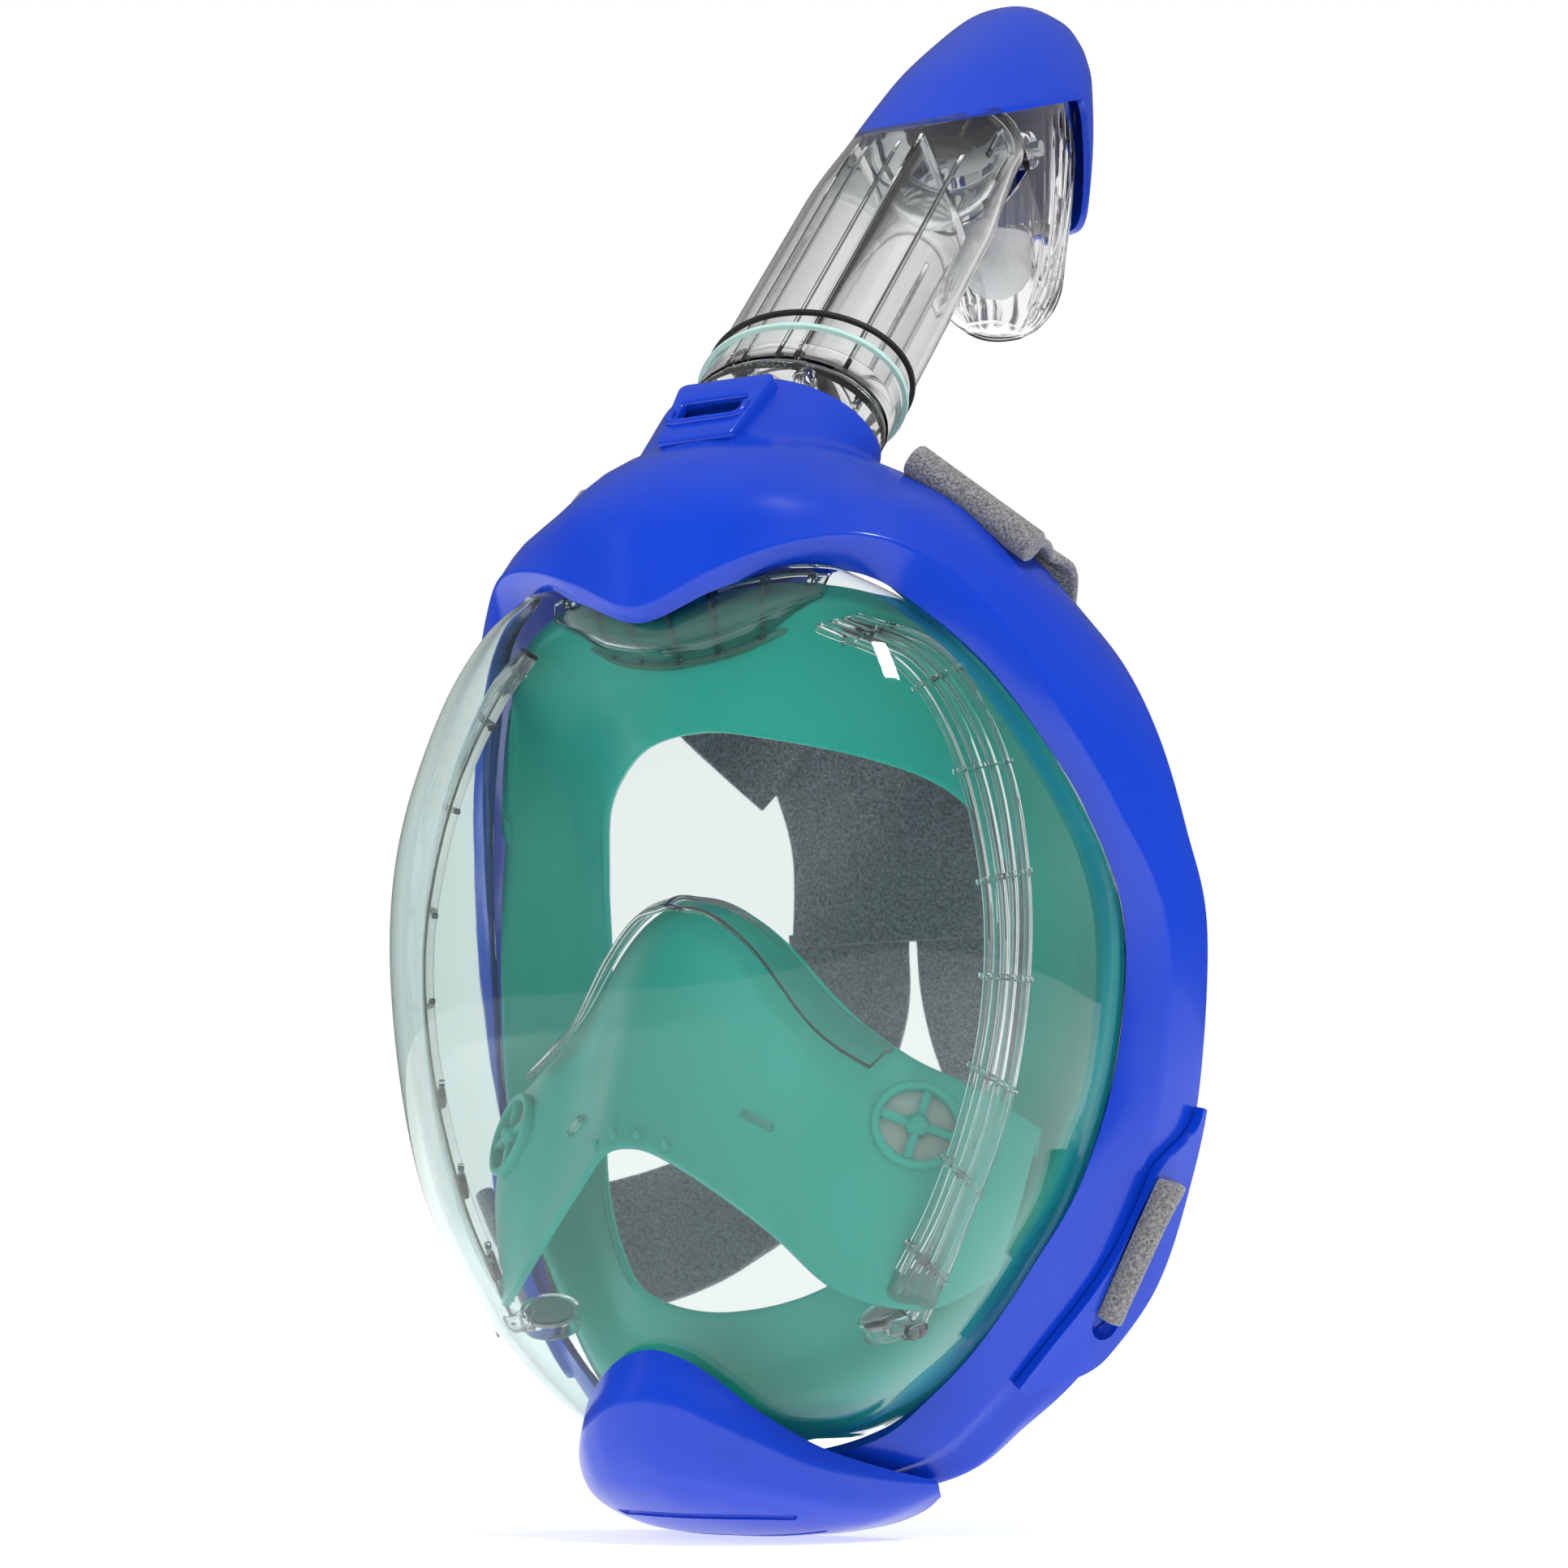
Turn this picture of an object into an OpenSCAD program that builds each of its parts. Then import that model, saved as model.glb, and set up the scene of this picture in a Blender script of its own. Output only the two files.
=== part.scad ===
// Full-face snorkel mask: blue frame, deep clear lens, silicone face skirt with a nose pocket,
// and a clear oval snorkel with a dry top that pulls out of a socket on the crown.
// +X is the wearer's left, +Y points towards the wearer's face, +Z is up.
// The origin is the centre of the face opening, in the plane of the frame's rear edge.

/* [Mask body] */
// Width over the side walls of the frame
mask_w = 192; // [180:1:204]
// Height of the body from the chin to the top of the crown
body_h = 240; // [230:1:250]
// Depth of the lens in front of the rim at eye height
lens_depth = 76; // [70:1:80]
// Wall of the frame and the chin cover
frame_t = 3; // [2.4:0.1:3.6]
// Wall of the lens
lens_t = 2.4; // [2:0.1:3]
// Wall of the silicone skirt and the nose pocket
silicone_t = 1.8; // [1.4:0.1:2.2]

/* [Snorkel] */
// Backward lean of the snorkel from the vertical
lean = 41.6; // [38:0.2:44]
// Half width of the oval tube
tube_rx = 26; // [25:0.1:26.2]
// Half depth of the oval tube
tube_ry = 19; // [18:0.1:19.2]
// Wall of the tube
tube_t = 1.6; // [1.2:0.1:2]
// Length of the tube above the socket
tube_len = 119; // [116:1:122]

/* [Valves] */
// Radius of the inhale valve discs in the nose pocket
inhale_r = 8.2; // [7:0.1:8.6]
// Radius of the exhale valve discs
exhale_r = 5.5; // [5:0.1:6]
// Radius of the chin drain disc
drain_r = 6.5; // [5.5:0.1:7]

/* [Harness] */
// Width of the webbing
strap_w = 34; // [30:1:36]
// Thickness of the webbing
strap_t = 2; // [1.6:0.1:2.4]

/* [Hidden] */
$fn = 48;

frame_blue = [0.05, 0.16, 0.78];
clear = [0.86, 0.9, 0.92, 0.35];
teal = [0.16, 0.68, 0.58];
strap_grey = [0.42, 0.42, 0.43];
black = [0.05, 0.05, 0.06];
metal = [0.7, 0.7, 0.72];

// The body's control points are laid out from the lens rim, on a body 192 x 240 mm with a lens
// 76 mm deep; fit() brings them to the chosen size. The rim's rear edge is at y = rear_y.
rear_y = 20;
function fit(p) = [p[0] * mask_w / 192, p[1] * lens_depth / 76 - rear_y, p[2] * body_h / 240];
socket_at = fit([0, 0, 121.7]);
loop_steps = 68;

// Smooth curve through control points: t runs from 0 to len(k) - 1.
function tangent(k, i) = i == 0 ? k[1] - k[0]
    : i == len(k) - 1 ? k[i] - k[i - 1] : (k[i + 1] - k[i - 1]) / 2;
function curve(k, t) = let(i = min(floor(t), len(k) - 2), u = t - i, h = u * u * (3 - 2 * u))
    k[i] * (1 - h) + k[i + 1] * h + tangent(k, i) * u * pow(1 - u, 2)
    - tangent(k, i + 1) * u * u * (1 - u);
// Surface through several control curves: t runs along them and s from one to the next.
function patch(rows, t, s) = curve([for (r = rows) curve(r, t)], s);
function flip_x(p) = [-p[0], p[1], p[2]];
function reverse(v) = [for (i = [len(v) - 1:-1:0]) v[i]];
function body_points(v) = [for (p = v) fit(p)];
// A half grid that starts and ends on the mid plane, made into a whole closed loop.
function whole_loop(g) = concat(g, [for (i = [len(g) - 2:-1:1]) [for (p = g[i]) flip_x(p)]]);
// A half grid that starts on the mid plane, made whole from one end to the other.
function whole_strip(g) = concat([for (i = [len(g) - 1:-1:1]) [for (p = g[i]) flip_x(p)]], g);

function unit(v) = v / max(norm(v), 0.0001);
function grid_normal(g, i, j, loop) = let(n = len(g), m = len(g[0]),
    a = loop ? g[(i + 1) % n][j] : g[min(i + 1, n - 1)][j],
    b = loop ? g[(i + n - 1) % n][j] : g[max(i - 1, 0)][j],
    c = g[i][min(j + 1, m - 1)], d = g[i][max(j - 1, 0)]) unit(cross(a - b, c - d));
// The grid moved by d along its own normals.
function thick(g, d, loop = true) = [for (i = [0:len(g) - 1]) [for (j = [0:len(g[0]) - 1])
    g[i][j] + d * grid_normal(g, i, j, loop)]];

// Closed solid between two grids of the same size.
module shell(outer, inner, loop = true) {
    n = len(outer);
    m = len(outer[0]);
    ring = 2 * m;
    points = [for (i = [0:n - 1]) each concat(outer[i], reverse(inner[i]))];
    last = loop ? n - 1 : n - 2;
    sides = [for (i = [0:last], j = [0:ring - 1]) let(a = i * ring + j, b = i * ring + (j + 1) % ring,
        c = ((i + 1) % n) * ring + (j + 1) % ring, d = ((i + 1) % n) * ring + j)
        each [[a, b, c], [a, c, d]]];
    end = (n - 1) * ring;
    caps = loop ? [] : [for (j = [0:m - 2]) each [
        [j + 1, j, ring - 1 - j], [j + 1, ring - 1 - j, ring - 2 - j],
        [end + j, end + j + 1, end + ring - 1 - j],
        [end + j + 1, end + ring - 2 - j, end + ring - 1 - j]]];
    polyhedron(points = points, faces = concat(sides, caps), convexity = 10);
}

// ---- Frame ----------------------------------------------------------------------------------
// Half curves from the top centre round to the chin: the rim's inner edge, the crease at the
// flange's outer edge, two curves over the crown and side wall, and the rear edge.
rim_inner = body_points([[0, -63.8, 63.4], [17, -61, 69.5], [30, -54, 73.6], [44, -45.8, 73.2],
    [55.6, -40.5, 66.1], [66, -29, 54.2], [74, -19, 39.5], [80.5, -9, 23], [85, 0, 0],
    [82.8, 0.6, -30], [76.3, -4.3, -56.8], [66, -9, -76], [54.8, -12.2, -92.4],
    [44, -14, -103.5], [34, -20, -112.6], [18, -32, -118], [0, -36, -119.5]]);
rim_crease = body_points([[0, -66, 66], [18, -62.5, 74], [34, -56.5, 79.5], [48, -48.5, 80.7],
    [60.4, -36, 74.9], [71.4, -24.2, 60.2], [79.5, -15.6, 42.5], [86.4, -5.6, 24.4],
    [92.8, 5, 0.7], [91, 7, -31], [86, 6, -53], [76, 2.5, -74], [64, -3, -91.5],
    [52, -7, -107], [40, -10, -117], [21, -24, -122.5], [0, -29, -124]]);
wall_front = body_points([[0, -64, 90], [21, -58, 92], [37, -45, 93], [52, -34, 89], [65, -20, 79],
    [76, -10, 61], [84, -5, 43], [89.5, 4, 23.5], [94.5, 10.5, 0.4], [92.5, 12, -31.5],
    [87.5, 11.5, -54], [78, 8, -76], [65.5, 1.5, -94], [53, -3, -108], [41.5, -6, -117.5],
    [22, -16, -124], [0, -20, -126]]);
wall_rear = body_points([[0, -38, 109], [23, -30, 108], [41, -16, 101], [56, -8, 92], [68, 0, 77],
    [79, 3, 60], [87, 5, 42], [92, 11, 22], [95.5, 15.5, 0.2], [93.5, 16.5, -32.3],
    [88.5, 17, -55], [80, 14, -78], [67, 6, -96], [54, 1, -108], [43, -2, -117],
    [22.5, -8, -124.5], [0, -11, -127]]);
rear_edge = body_points([[0, 12, 104], [24, 13, 102], [44, 15, 93], [58, 16, 84], [69, 15, 72],
    [80, 14, 58], [88.5, 13, 41], [93, 16.5, 21], [96, 20, 0], [94, 20, -33], [89, 20, -56],
    [81, 18, -80], [68, 10, -98], [55, 5, -108], [44, 1, -116.5], [23, -2, -124], [0, -4, -127]]);
wall_rows = [rim_crease, wall_front, wall_rear, rear_edge];
stations = len(rim_inner) - 1;

function rim_section(t) = concat([curve(rim_inner, t)], [for (s = [0:0.5:3]) patch(wall_rows, t, s)]);
function rim_grid() = whole_loop([for (i = [0:loop_steps / 2]) rim_section(i * stations * 2 / loop_steps)]);

// Everything on the snorkel: local z runs up the tube, local y is its rear side.
module on_tube() {
    translate(socket_at) rotate([-lean, 0, 0]) children();
}
module oval(rx, ry, h) {
    scale([rx / ry, 1, 1]) cylinder(r = ry, h = h, $fn = 96);
}
module oval_tube(rx, ry, wall, h) {
    difference() {
        oval(rx, ry, h);
        translate([0, 0, -1]) oval(rx - wall, ry - wall, h + 2);
    }
}

socket_gap = 0.7;
socket_wall = 2.4;
socket_low = -40;
socket_high = -13;
window_w = 17;
module socket_outside() {
    h = socket_high - socket_low;
    on_tube() translate([0, 0, socket_low])
        oval(tube_rx + socket_gap + socket_wall, tube_ry + socket_gap + socket_wall, h);
    // Raised latch panel on the front of the socket.
    on_tube() hull() {
        translate([-12.5, -24.6, -16.5]) cube([25, 6, 1.5]);
        translate([-9.8, -24.2, -38]) cube([19.6, 6, 1.5]);
    }
}
module socket_hollow() {
    on_tube() translate([0, 0, socket_low - 20])
        oval(tube_rx + socket_gap, tube_ry + socket_gap, socket_high - socket_low + 40);
    on_tube() translate([-window_w / 2, -30, -30]) cube([window_w, 14, 7]);
    // The socket's rear edge is cut away, lower than its front.
    on_tube() translate([-40, 6, -22]) cube([80, 40, 40]);
}
// Slot cutter: a rounded groove from a to b, of radius r.
module slot_cut(a, b, r) {
    hull() {
        translate(a) sphere(r = r, $fn = 10);
        translate(b) sphere(r = r, $fn = 10);
    }
}
module frame_slots() {
    for (s = [-1, 1], k = [0, 1]) {
        slot_cut(fit([s * 94, 3 + k * 5, 34]), fit([s * 96, 8 + k * 5, 14]), 1.4);
        slot_cut(fit([s * 62, -30 + k * 14, 96]), fit([s * 78, -12 + k * 14, 76]), 1.5);
    }
}
module frame() {
    g = rim_grid();
    color(frame_blue) difference() {
        union() {
            shell(g, thick(g, -frame_t));
            socket_outside();
        }
        socket_hollow();
        frame_slots();
        translate(drain_at + [0, 0, -8]) cylinder(r = drain_r + drain_wall + 0.2, h = 12);
    }
}

// ---- Chin cover -----------------------------------------------------------------------------
chin_lip = body_points([[0, -58.7, -93], [8, -57.8, -95], [15, -54.9, -99.6], [22, -49.8, -106],
    [30, -38, -113.5], [37, -22, -118.5], [42.5, -9, -121.5]]);
chin_nose = body_points([[0, -61.5, -106], [8, -60.5, -107], [15, -57.5, -110], [22, -51.5, -114],
    [30, -39.5, -119], [37, -23, -121.5], [43, -8.8, -122.3]]);
chin_front = body_points([[0, -53, -122], [8, -52, -122], [15, -49.5, -122.6], [22, -44, -124],
    [30, -34, -125.5], [37, -20.5, -125], [43, -8.3, -123.2]]);
chin_under = body_points([[0, -31, -132.6], [8, -30.5, -132.6], [15, -29, -132.3],
    [22, -26, -131.7], [30, -20.5, -130.4], [37, -14, -127.8], [42.6, -7.5, -124.2]]);
chin_rear = body_points([[0, -5, -134.5], [8, -5, -134.4], [15, -4.6, -134], [22, -4, -133],
    [30, -3, -131.2], [37, -3.4, -128.4], [42, -5.5, -125.2]]);
chin_rows = [chin_lip, chin_nose, chin_front, chin_under, chin_rear];
function chin_grid(n) = whole_strip([for (i = [0:n]) [for (s = [0:0.5:4]) patch(chin_rows, i * 6 / n, s)]]);
// The two curved drain slots follow the cover's surface.
module chin_slots() {
    for (s = [2.62, 3.25], i = [-3:2]) {
        a = patch(chin_rows, abs(i) * 1.1, s);
        b = patch(chin_rows, abs(i + 1) * 1.1, s);
        slot_cut(i < 0 ? flip_x(a) : a, i + 1 < 0 ? flip_x(b) : b, 1.5);
    }
}
module chin_cover() {
    g = chin_grid(16);
    color(frame_blue) difference() {
        shell(thick(g, 2.2, false), g, false);
        chin_slots();
    }
}

// ---- Lens -----------------------------------------------------------------------------------
// Half width, rim depth and front depth at each height; the sections are superellipses.
lens_rows = [[-112, 30, -15, -46], [-105, 41, -13, -51], [-92, 54.8, -11.5, -57.5],
    [-75, 66.5, -8, -65], [-56.8, 75.8, -4, -70.5], [-30, 82.3, 0.4, -74.5], [0, 84.5, 0, -76],
    [25, 79.3, -9.5, -74.5], [50.2, 67.4, -24, -68.5], [66, 54, -38.5, -62], [74.6, 40, -47, -58]];
lens_power = 3.1;
function super(c) = sign(c) * pow(abs(c), 2 / lens_power);
function lens_at(t, a, inset = 0) = let(r = curve(lens_rows, t), y_rim = r[2] + 1.5,
    y_front = r[3] + inset)
    fit([(r[1] - inset) * super(cos(a)), y_rim + (y_front - y_rim) * super(sin(a)), r[0]]);
function lens_grid(inset) = [for (i = [0:22]) [for (j = [0:26])
    lens_at(i * 10 / 22, 180 - j * 180 / 26, inset)]];
module lens() {
    color(clear) shell(lens_grid(lens_t), lens_grid(0), false);
}
// Thin seal between the lens edge and the rim: a square bead that follows the rim.
function bead(t, size) = let(p = curve(rim_inner, t), q = curve(rim_crease, t), o = unit(q - p))
    [p + [0, 3.4, 0] + o * 1.2, p + [0, 3.4, 0] + o * (1.2 + size)];
module lens_gasket() {
    g = whole_loop([for (i = [0:36]) bead(i * stations / 36, 1.6)]);
    color(black) shell(g, thick(g, -1.2));
}

// ---- Face skirt -----------------------------------------------------------------------------
// Half curves from the top centre to the chin: the edge held in the frame, the bright ridge
// behind the lens, the middle of the skirt, the opening's lip and the turned-back face seal.
skirt_edge = body_points([[0, -50, 70], [30, -44, 72], [54, -31, 64], [70, -12, 44], [80, 3, 20],
    [83, 9, -6], [80, 9, -34], [72, 4, -62], [58, -3, -86], [38, -11, -106], [0, -24, -115]]);
skirt_ridge = body_points([[0, -54, 64], [28, -46, 66.5], [51, -31.5, 60], [67.5, -10, 47],
    [77, -1, 26], [79.3, 0.4, -1], [75.7, -2.6, -33], [66, -8, -59], [51, -14, -82],
    [33, -23, -99], [0, -36, -108]]);
skirt_mid = body_points([[0, -46, 52], [22, -38, 54], [42, -22, 50], [57, -3, 38], [65, 7, 22],
    [67, 10, -2], [64, 7, -30], [56, -2, -54], [43, -12, -74], [26, -23, -90], [0, -31, -98]]);
skirt_lip = body_points([[0, -39, 42.5], [14.5, -37.2, 40.8], [32.7, -20.4, 36.7],
    [45.5, -5.2, 29.7], [52.5, 6, 16], [54.5, 11, -2], [53, 8, -26], [47, -3, -48],
    [36, -15, -68], [21.4, -24.9, -80.5], [0, -30, -85]]);
skirt_seal = body_points([[0, -32, 45], [16, -29, 44], [37, -11, 40], [53, 6, 32], [61.5, 16, 17],
    [64, 18, -4], [62, 17, -28], [55, 9, -52], [42, -4, -73], [25, -15, -87], [0, -20, -92]]);
skirt_rows = [skirt_edge, skirt_ridge, skirt_mid, skirt_lip, skirt_seal];
function skirt_grid() = whole_loop([for (i = [0:30]) [for (s = [0:0.5:4])
    patch(skirt_rows, i * 10 / 30, s)]]);
module face_skirt() {
    g = skirt_grid();
    color(teal) shell(thick(g, silicone_t), g);
}

// ---- Nose pocket ----------------------------------------------------------------------------
// Half curves from the nose bridge outwards: the free rear edge, the crest, the front wall and
// the arch that meets the inside of the lens.
pocket_rear = body_points([[0, -31, -4], [10, -30, -6], [20, -28, -14], [33, -25, -27],
    [46, -19, -38], [56, -12, -44], [66, -6, -50]]);
pocket_crest = body_points([[0, -42, 4.3], [10, -39.3, 2.2], [20, -37, -5], [33.4, -33.5, -20.5],
    [47, -30, -31], [60, -22, -38], [69, -12, -46]]);
pocket_front = body_points([[0, -56, -16], [9, -53.5, -18], [18.5, -49, -28], [30, -46, -45],
    [43, -43, -53], [57, -34, -58], [67, -18, -62]]);
pocket_arch = body_points([[0, -69.5, -50], [7, -68, -51.4], [16, -62.5, -57.5],
    [28, -56, -67.5], [41, -50, -80], [54, -36, -84], [61, -17, -77]]);
pocket_rows = [pocket_rear, pocket_crest, pocket_front, pocket_arch];
function pocket_grid() = whole_strip([for (i = [0:20]) [for (s = [0:0.3:3])
    patch(pocket_rows, i * 6 / 20, s)]]);
// The valve sits in the pocket's front wall, between its crest and the arch.
inhale_t = 4.5;
inhale_s = 1.6;
inhale_at = patch(pocket_rows, inhale_t, inhale_s);
inhale_dir = unit(cross(
    patch(pocket_rows, inhale_t + 0.3, inhale_s) - patch(pocket_rows, inhale_t - 0.3, inhale_s),
    patch(pocket_rows, inhale_t, inhale_s + 0.3) - patch(pocket_rows, inhale_t, inhale_s - 0.3)));
// Turns local +z to direction d.
module aim(d) {
    rotate([0, acos(d[2]), atan2(d[1], d[0])]) children();
}
module both_sides() {
    children();
    mirror([1, 0, 0]) children();
}
module at_inhale_valve() {
    translate(inhale_at) aim(inhale_dir) children();
}
module valve_wheel() {
    $fn = 32;
    difference() {
        translate([0, 0, -1.5]) cylinder(r = inhale_r + 1.6, h = 3);
        translate([0, 0, -4]) cylinder(r = inhale_r, h = 8);
    }
    translate([0, 0, -1.5]) cylinder(r = 1.9, h = 3);
    for (k = [0:3]) rotate(k * 90 + 20) hull() {
        translate([0, -0.8, -1.5]) cube([1, 1.6, 2.4]);
        translate([inhale_r, -0.8, -1.5]) cube([1, 1.6, 2.4]);
    }
}
module nose_pocket() {
    g = pocket_grid();
    color(teal) union() {
        difference() {
            shell(thick(g, silicone_t, false), g, false);
            both_sides() at_inhale_valve() translate([0, 0, -6]) cylinder(r = inhale_r + 0.8, h = 12);
        }
        both_sides() at_inhale_valve() valve_wheel();
    }
}
// Clear stiffener that lies just in front of the pocket's crest.
bracket_rows = [for (d = [2.4, 5.2]) [for (i = [0:8]) let(t = i * 3.4 / 8)
    patch(pocket_rows, t, 1.0 + (d - 2.4) / 12) + [0, -d * 0.75, d * 0.7]]];
module pocket_bracket() {
    g = whole_strip([for (i = [0:20]) [for (s = [0:0.5:1]) patch(bracket_rows, i * 8 / 20, s)]]);
    color(clear) shell(thick(g, 1.2, false), g, false);
}

disc_t = 0.8;
module inhale_valve() {
    color(strap_grey) at_inhale_valve() translate([0, 0, 1.8])
        cylinder(r = inhale_r + 0.4, h = disc_t);
}
module inhale_valve_left() { inhale_valve(); }
module inhale_valve_right() { mirror([1, 0, 0]) inhale_valve(); }

// ---- Air channels and crown duct ------------------------------------------------------------
// Each channel is a clear wall that runs down the inside of the lens, from the crown duct to
// the exhale valve beside the mouth.
rail_inner = body_points([[37, -51, 61], [53, -42, 52], [65, -41, 32], [71.8, -41.5, 5],
    [72, -41.5, -18], [67.6, -41.5, -40], [59.5, -42, -62], [49, -42.4, -81]]);
rail_outer = body_points([[43, -44.5, 63.5], [58.5, -37, 56], [72, -34.9, 34], [77.6, -35, 7],
    [77.4, -35.5, -19], [72.5, -36, -45], [63, -36.5, -68], [51.5, -34, -88]]);
channel_rows = [rail_inner, rail_outer];
module channel() {
    g = [for (i = [0:28]) [for (s = [0:0.5:1]) patch(channel_rows, i * 7 / 28, s)]];
    color(clear) union() {
        shell(thick(g, 1.4, false), g, false);
        for (k = [0:7]) let(a = patch(channel_rows, 0.35 + k * 0.9, 0),
            b = patch(channel_rows, 0.35 + k * 0.9, 1)) hull() {
            translate(a) cube(2, center = true);
            translate(b) cube(2, center = true);
        }
        exhale_seat();
    }
}
exhale_at = fit([43, -32.5, -84]);
exhale_dir = unit([0.2, 0.45, -0.87]);
module exhale_seat() {
    $fn = 24;
    translate(exhale_at) aim(exhale_dir) difference() {
        cylinder(r = exhale_r + 1.5, h = 5);
        translate([0, 0, 1.2]) cylinder(r = exhale_r + 0.4, h = 5);
        translate([0, 0, -1]) cylinder(r = 2.2, h = 5);
    }
}
module channel_left() { channel(); }
module channel_right() { mirror([1, 0, 0]) channel(); }
module exhale_valve() {
    color(strap_grey) translate(exhale_at) aim(exhale_dir) translate([0, 0, 1.5])
        cylinder(r = exhale_r, h = disc_t);
}
module exhale_valve_left() { exhale_valve(); }
module exhale_valve_right() { mirror([1, 0, 0]) exhale_valve(); }

// Clear lip under the crown that joins both channels to the socket.
duct_top = body_points([[0, -58, 68], [16, -55.5, 71.5], [28, -49.5, 73.5], [36, -43.5, 73.5]]);
duct_front = body_points([[0, -58, 59], [15, -55.5, 61.5], [26, -50.5, 66], [34.6, -44.5, 69]]);
duct_low = body_points([[0, -49.5, 55.8], [14, -47, 58], [24, -43, 62.5], [33, -38.5, 67]]);
duct_rows = [duct_top, duct_front, duct_low];
module crown_duct() {
    g = whole_strip([for (i = [0:10]) [for (s = [0:0.5:2]) patch(duct_rows, i * 3 / 10, s)]]);
    color(clear) shell(thick(g, 1.4, false), g, false);
}

// ---- Chin drain -----------------------------------------------------------------------------
drain_at = fit([0, -18, -125]);
drain_wall = 2;
module drain_seat() {
    color(teal) translate(drain_at) difference() {
        translate([0, 0, -3]) cylinder(r = drain_r + drain_wall, h = 5);
        translate([0, 0, -0.1]) cylinder(r = drain_r, h = 4);
        translate([0, 0, -5.5]) cylinder(r = drain_r, h = 4);
        for (k = [0:5]) rotate(k * 60) translate([drain_r * 0.55, 0, -9]) cylinder(r = 1.5, h = 12);
    }
}
// The disc hangs under its seat and opens downwards.
module drain_valve() {
    color(strap_grey) translate(drain_at + [0, 0, -2.6]) cylinder(r = drain_r - 0.4, h = disc_t);
}

// ---- Snorkel --------------------------------------------------------------------------------
base_top = -1;
module snorkel_tube() {
    color(clear) on_tube() translate([0, 0, base_top]) {
        oval_tube(tube_rx, tube_ry, tube_t, tube_len);
        // Two partitions part the fresh air in the middle from the used air at the sides.
        for (s = [-1, 1]) translate([s * 9 - 0.6, -tube_ry * 0.9, 0])
            cube([1.2, tube_ry * 1.8, tube_len - 26]);
    }
}
tongue_w = 20;
tongue_h = 12;
tongue_low = -32;
plug_low = socket_low + 8;
module snorkel_base() {
    sleeve = tube_t + 0.2;
    bore = 3;
    color(clear) on_tube() difference() {
        union() {
            translate([0, 0, plug_low]) oval(tube_rx - 0.1, tube_ry - 0.1, base_top - 0.2 - plug_low);
            translate([0, 0, base_top - 4]) oval(tube_rx - sleeve, tube_ry - sleeve, 7);
        }
        translate([0, 0, plug_low - 1]) oval(tube_rx - bore, tube_ry - bore, 40);
        translate([-tongue_w / 2 - 0.6, -25, tongue_low - 0.6]) cube([tongue_w + 1.2, 20, tongue_h + 1.2]);
    }
}
// Springy tab behind the latch window: pressed in to let the snorkel go.
module latch_tongue() {
    color(clear) on_tube() difference() {
        union() {
            translate([-tongue_w / 2, -tube_ry + 1.5, tongue_low]) cube([tongue_w, 1.6, tongue_h]);
            translate([-5, -tube_ry - 0.2, tongue_low + 3]) cube([10, 2.4, 5]);
        }
        for (s = [-1, 1]) translate([s * 8.5, -30, tongue_low + 6]) rotate([-90, 0, 0])
            cylinder(r = 0.8, h = 20);
    }
}
module oval_ring(z, section) {
    on_tube() translate([0, 0, z - section / 2])
        oval_tube(tube_rx + section + 0.05, tube_ry + section + 0.05, section, section);
}
module base_o_ring() { color(black) oval_ring(16, 1.1); }
module base_seal() { color([0.72, 0.84, 0.82]) oval_ring(10.5, 1.2); }

// Dry top, laid out from the middle of the tube's mouth. Each level section is
// [height, middle y, half length, half width, rise per mm towards the rear].
tube_mouth = base_top + tube_len;
head_rise = 4;
head_at = socket_at + (tube_mouth + head_rise) * [0, sin(lean), cos(lean)];
head_rows = [[-45, 28, 9, 6.5, 0], [-41, 27.5, 16, 10.5, 0], [-33, 28, 22, 13.5, 0.03],
    [-23, 27, 23, 16, 0.08], [-13, 22.7, 27.3, 19, 0.15], [0, 17.8, 32, 21.6, 0.25],
    [13, 16.1, 33.2, 22, 0.42]];
cap_rows = [[46.5, 46, 3.4, 2.4, 0], [46, 45, 11.5, 8, 0.05], [43, 42, 20.5, 14, 0.1],
    [37.5, 36.5, 28, 18.7, 0.15], [30, 29.5, 34.5, 21.8, 0.22], [21.5, 22.7, 39.2, 24, 0.3],
    [12, 21.2, 41.2, 24.8, 0.33]];
cap_t = 1.8;
function level_ring(r, wall, n = 32) = [for (j = [0:n]) let(a = j * 360 / n, p = 0.8,
    y = -(r[2] - wall) * sign(cos(a)) * pow(abs(cos(a)), p))
    [(r[3] - wall) * sign(sin(a)) * pow(abs(sin(a)), p), r[1] + y, r[0] + y * r[4]]];
function level_rings(rows, wall, steps) =
    [for (i = [0:steps]) level_ring(curve(rows, i * (len(rows) - 1) / steps), wall)];
// Bowl between two stacks of rings: a fan closes the low end, a rim joins them at the high end.
module bowl(outer, inner, floor_t) {
    n = len(outer);
    m = len(outer[0]) - 1;
    wall = [for (g = outer) each [for (j = [0:m - 1]) g[j]]];
    lining = [for (g = inner) each [for (j = [0:m - 1]) g[j] + [0, 0, floor_t]]];
    low = (outer[0][0] + outer[0][m / 2]) / 2;
    o = n * m;
    faces = [for (j = [0:m - 1]) let(k = (j + 1) % m, top = (n - 1) * m) each concat(
        [[2 * o, j, k], [2 * o + 1, o + k, o + j]],
        [[top + j, o + top + j, top + k], [top + k, o + top + j, o + top + k]],
        [for (i = [0:n - 2]) let(p = i * m, q = p + m) each
            [[p + j, q + j, p + k], [p + k, q + j, q + k],
             [o + p + j, o + p + k, o + q + j], [o + p + k, o + q + k, o + q + j]]])];
    polyhedron(points = concat(wall, lining, [low, low + [0, 0, floor_t]]), faces = faces,
        convexity = 8);
}
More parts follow.
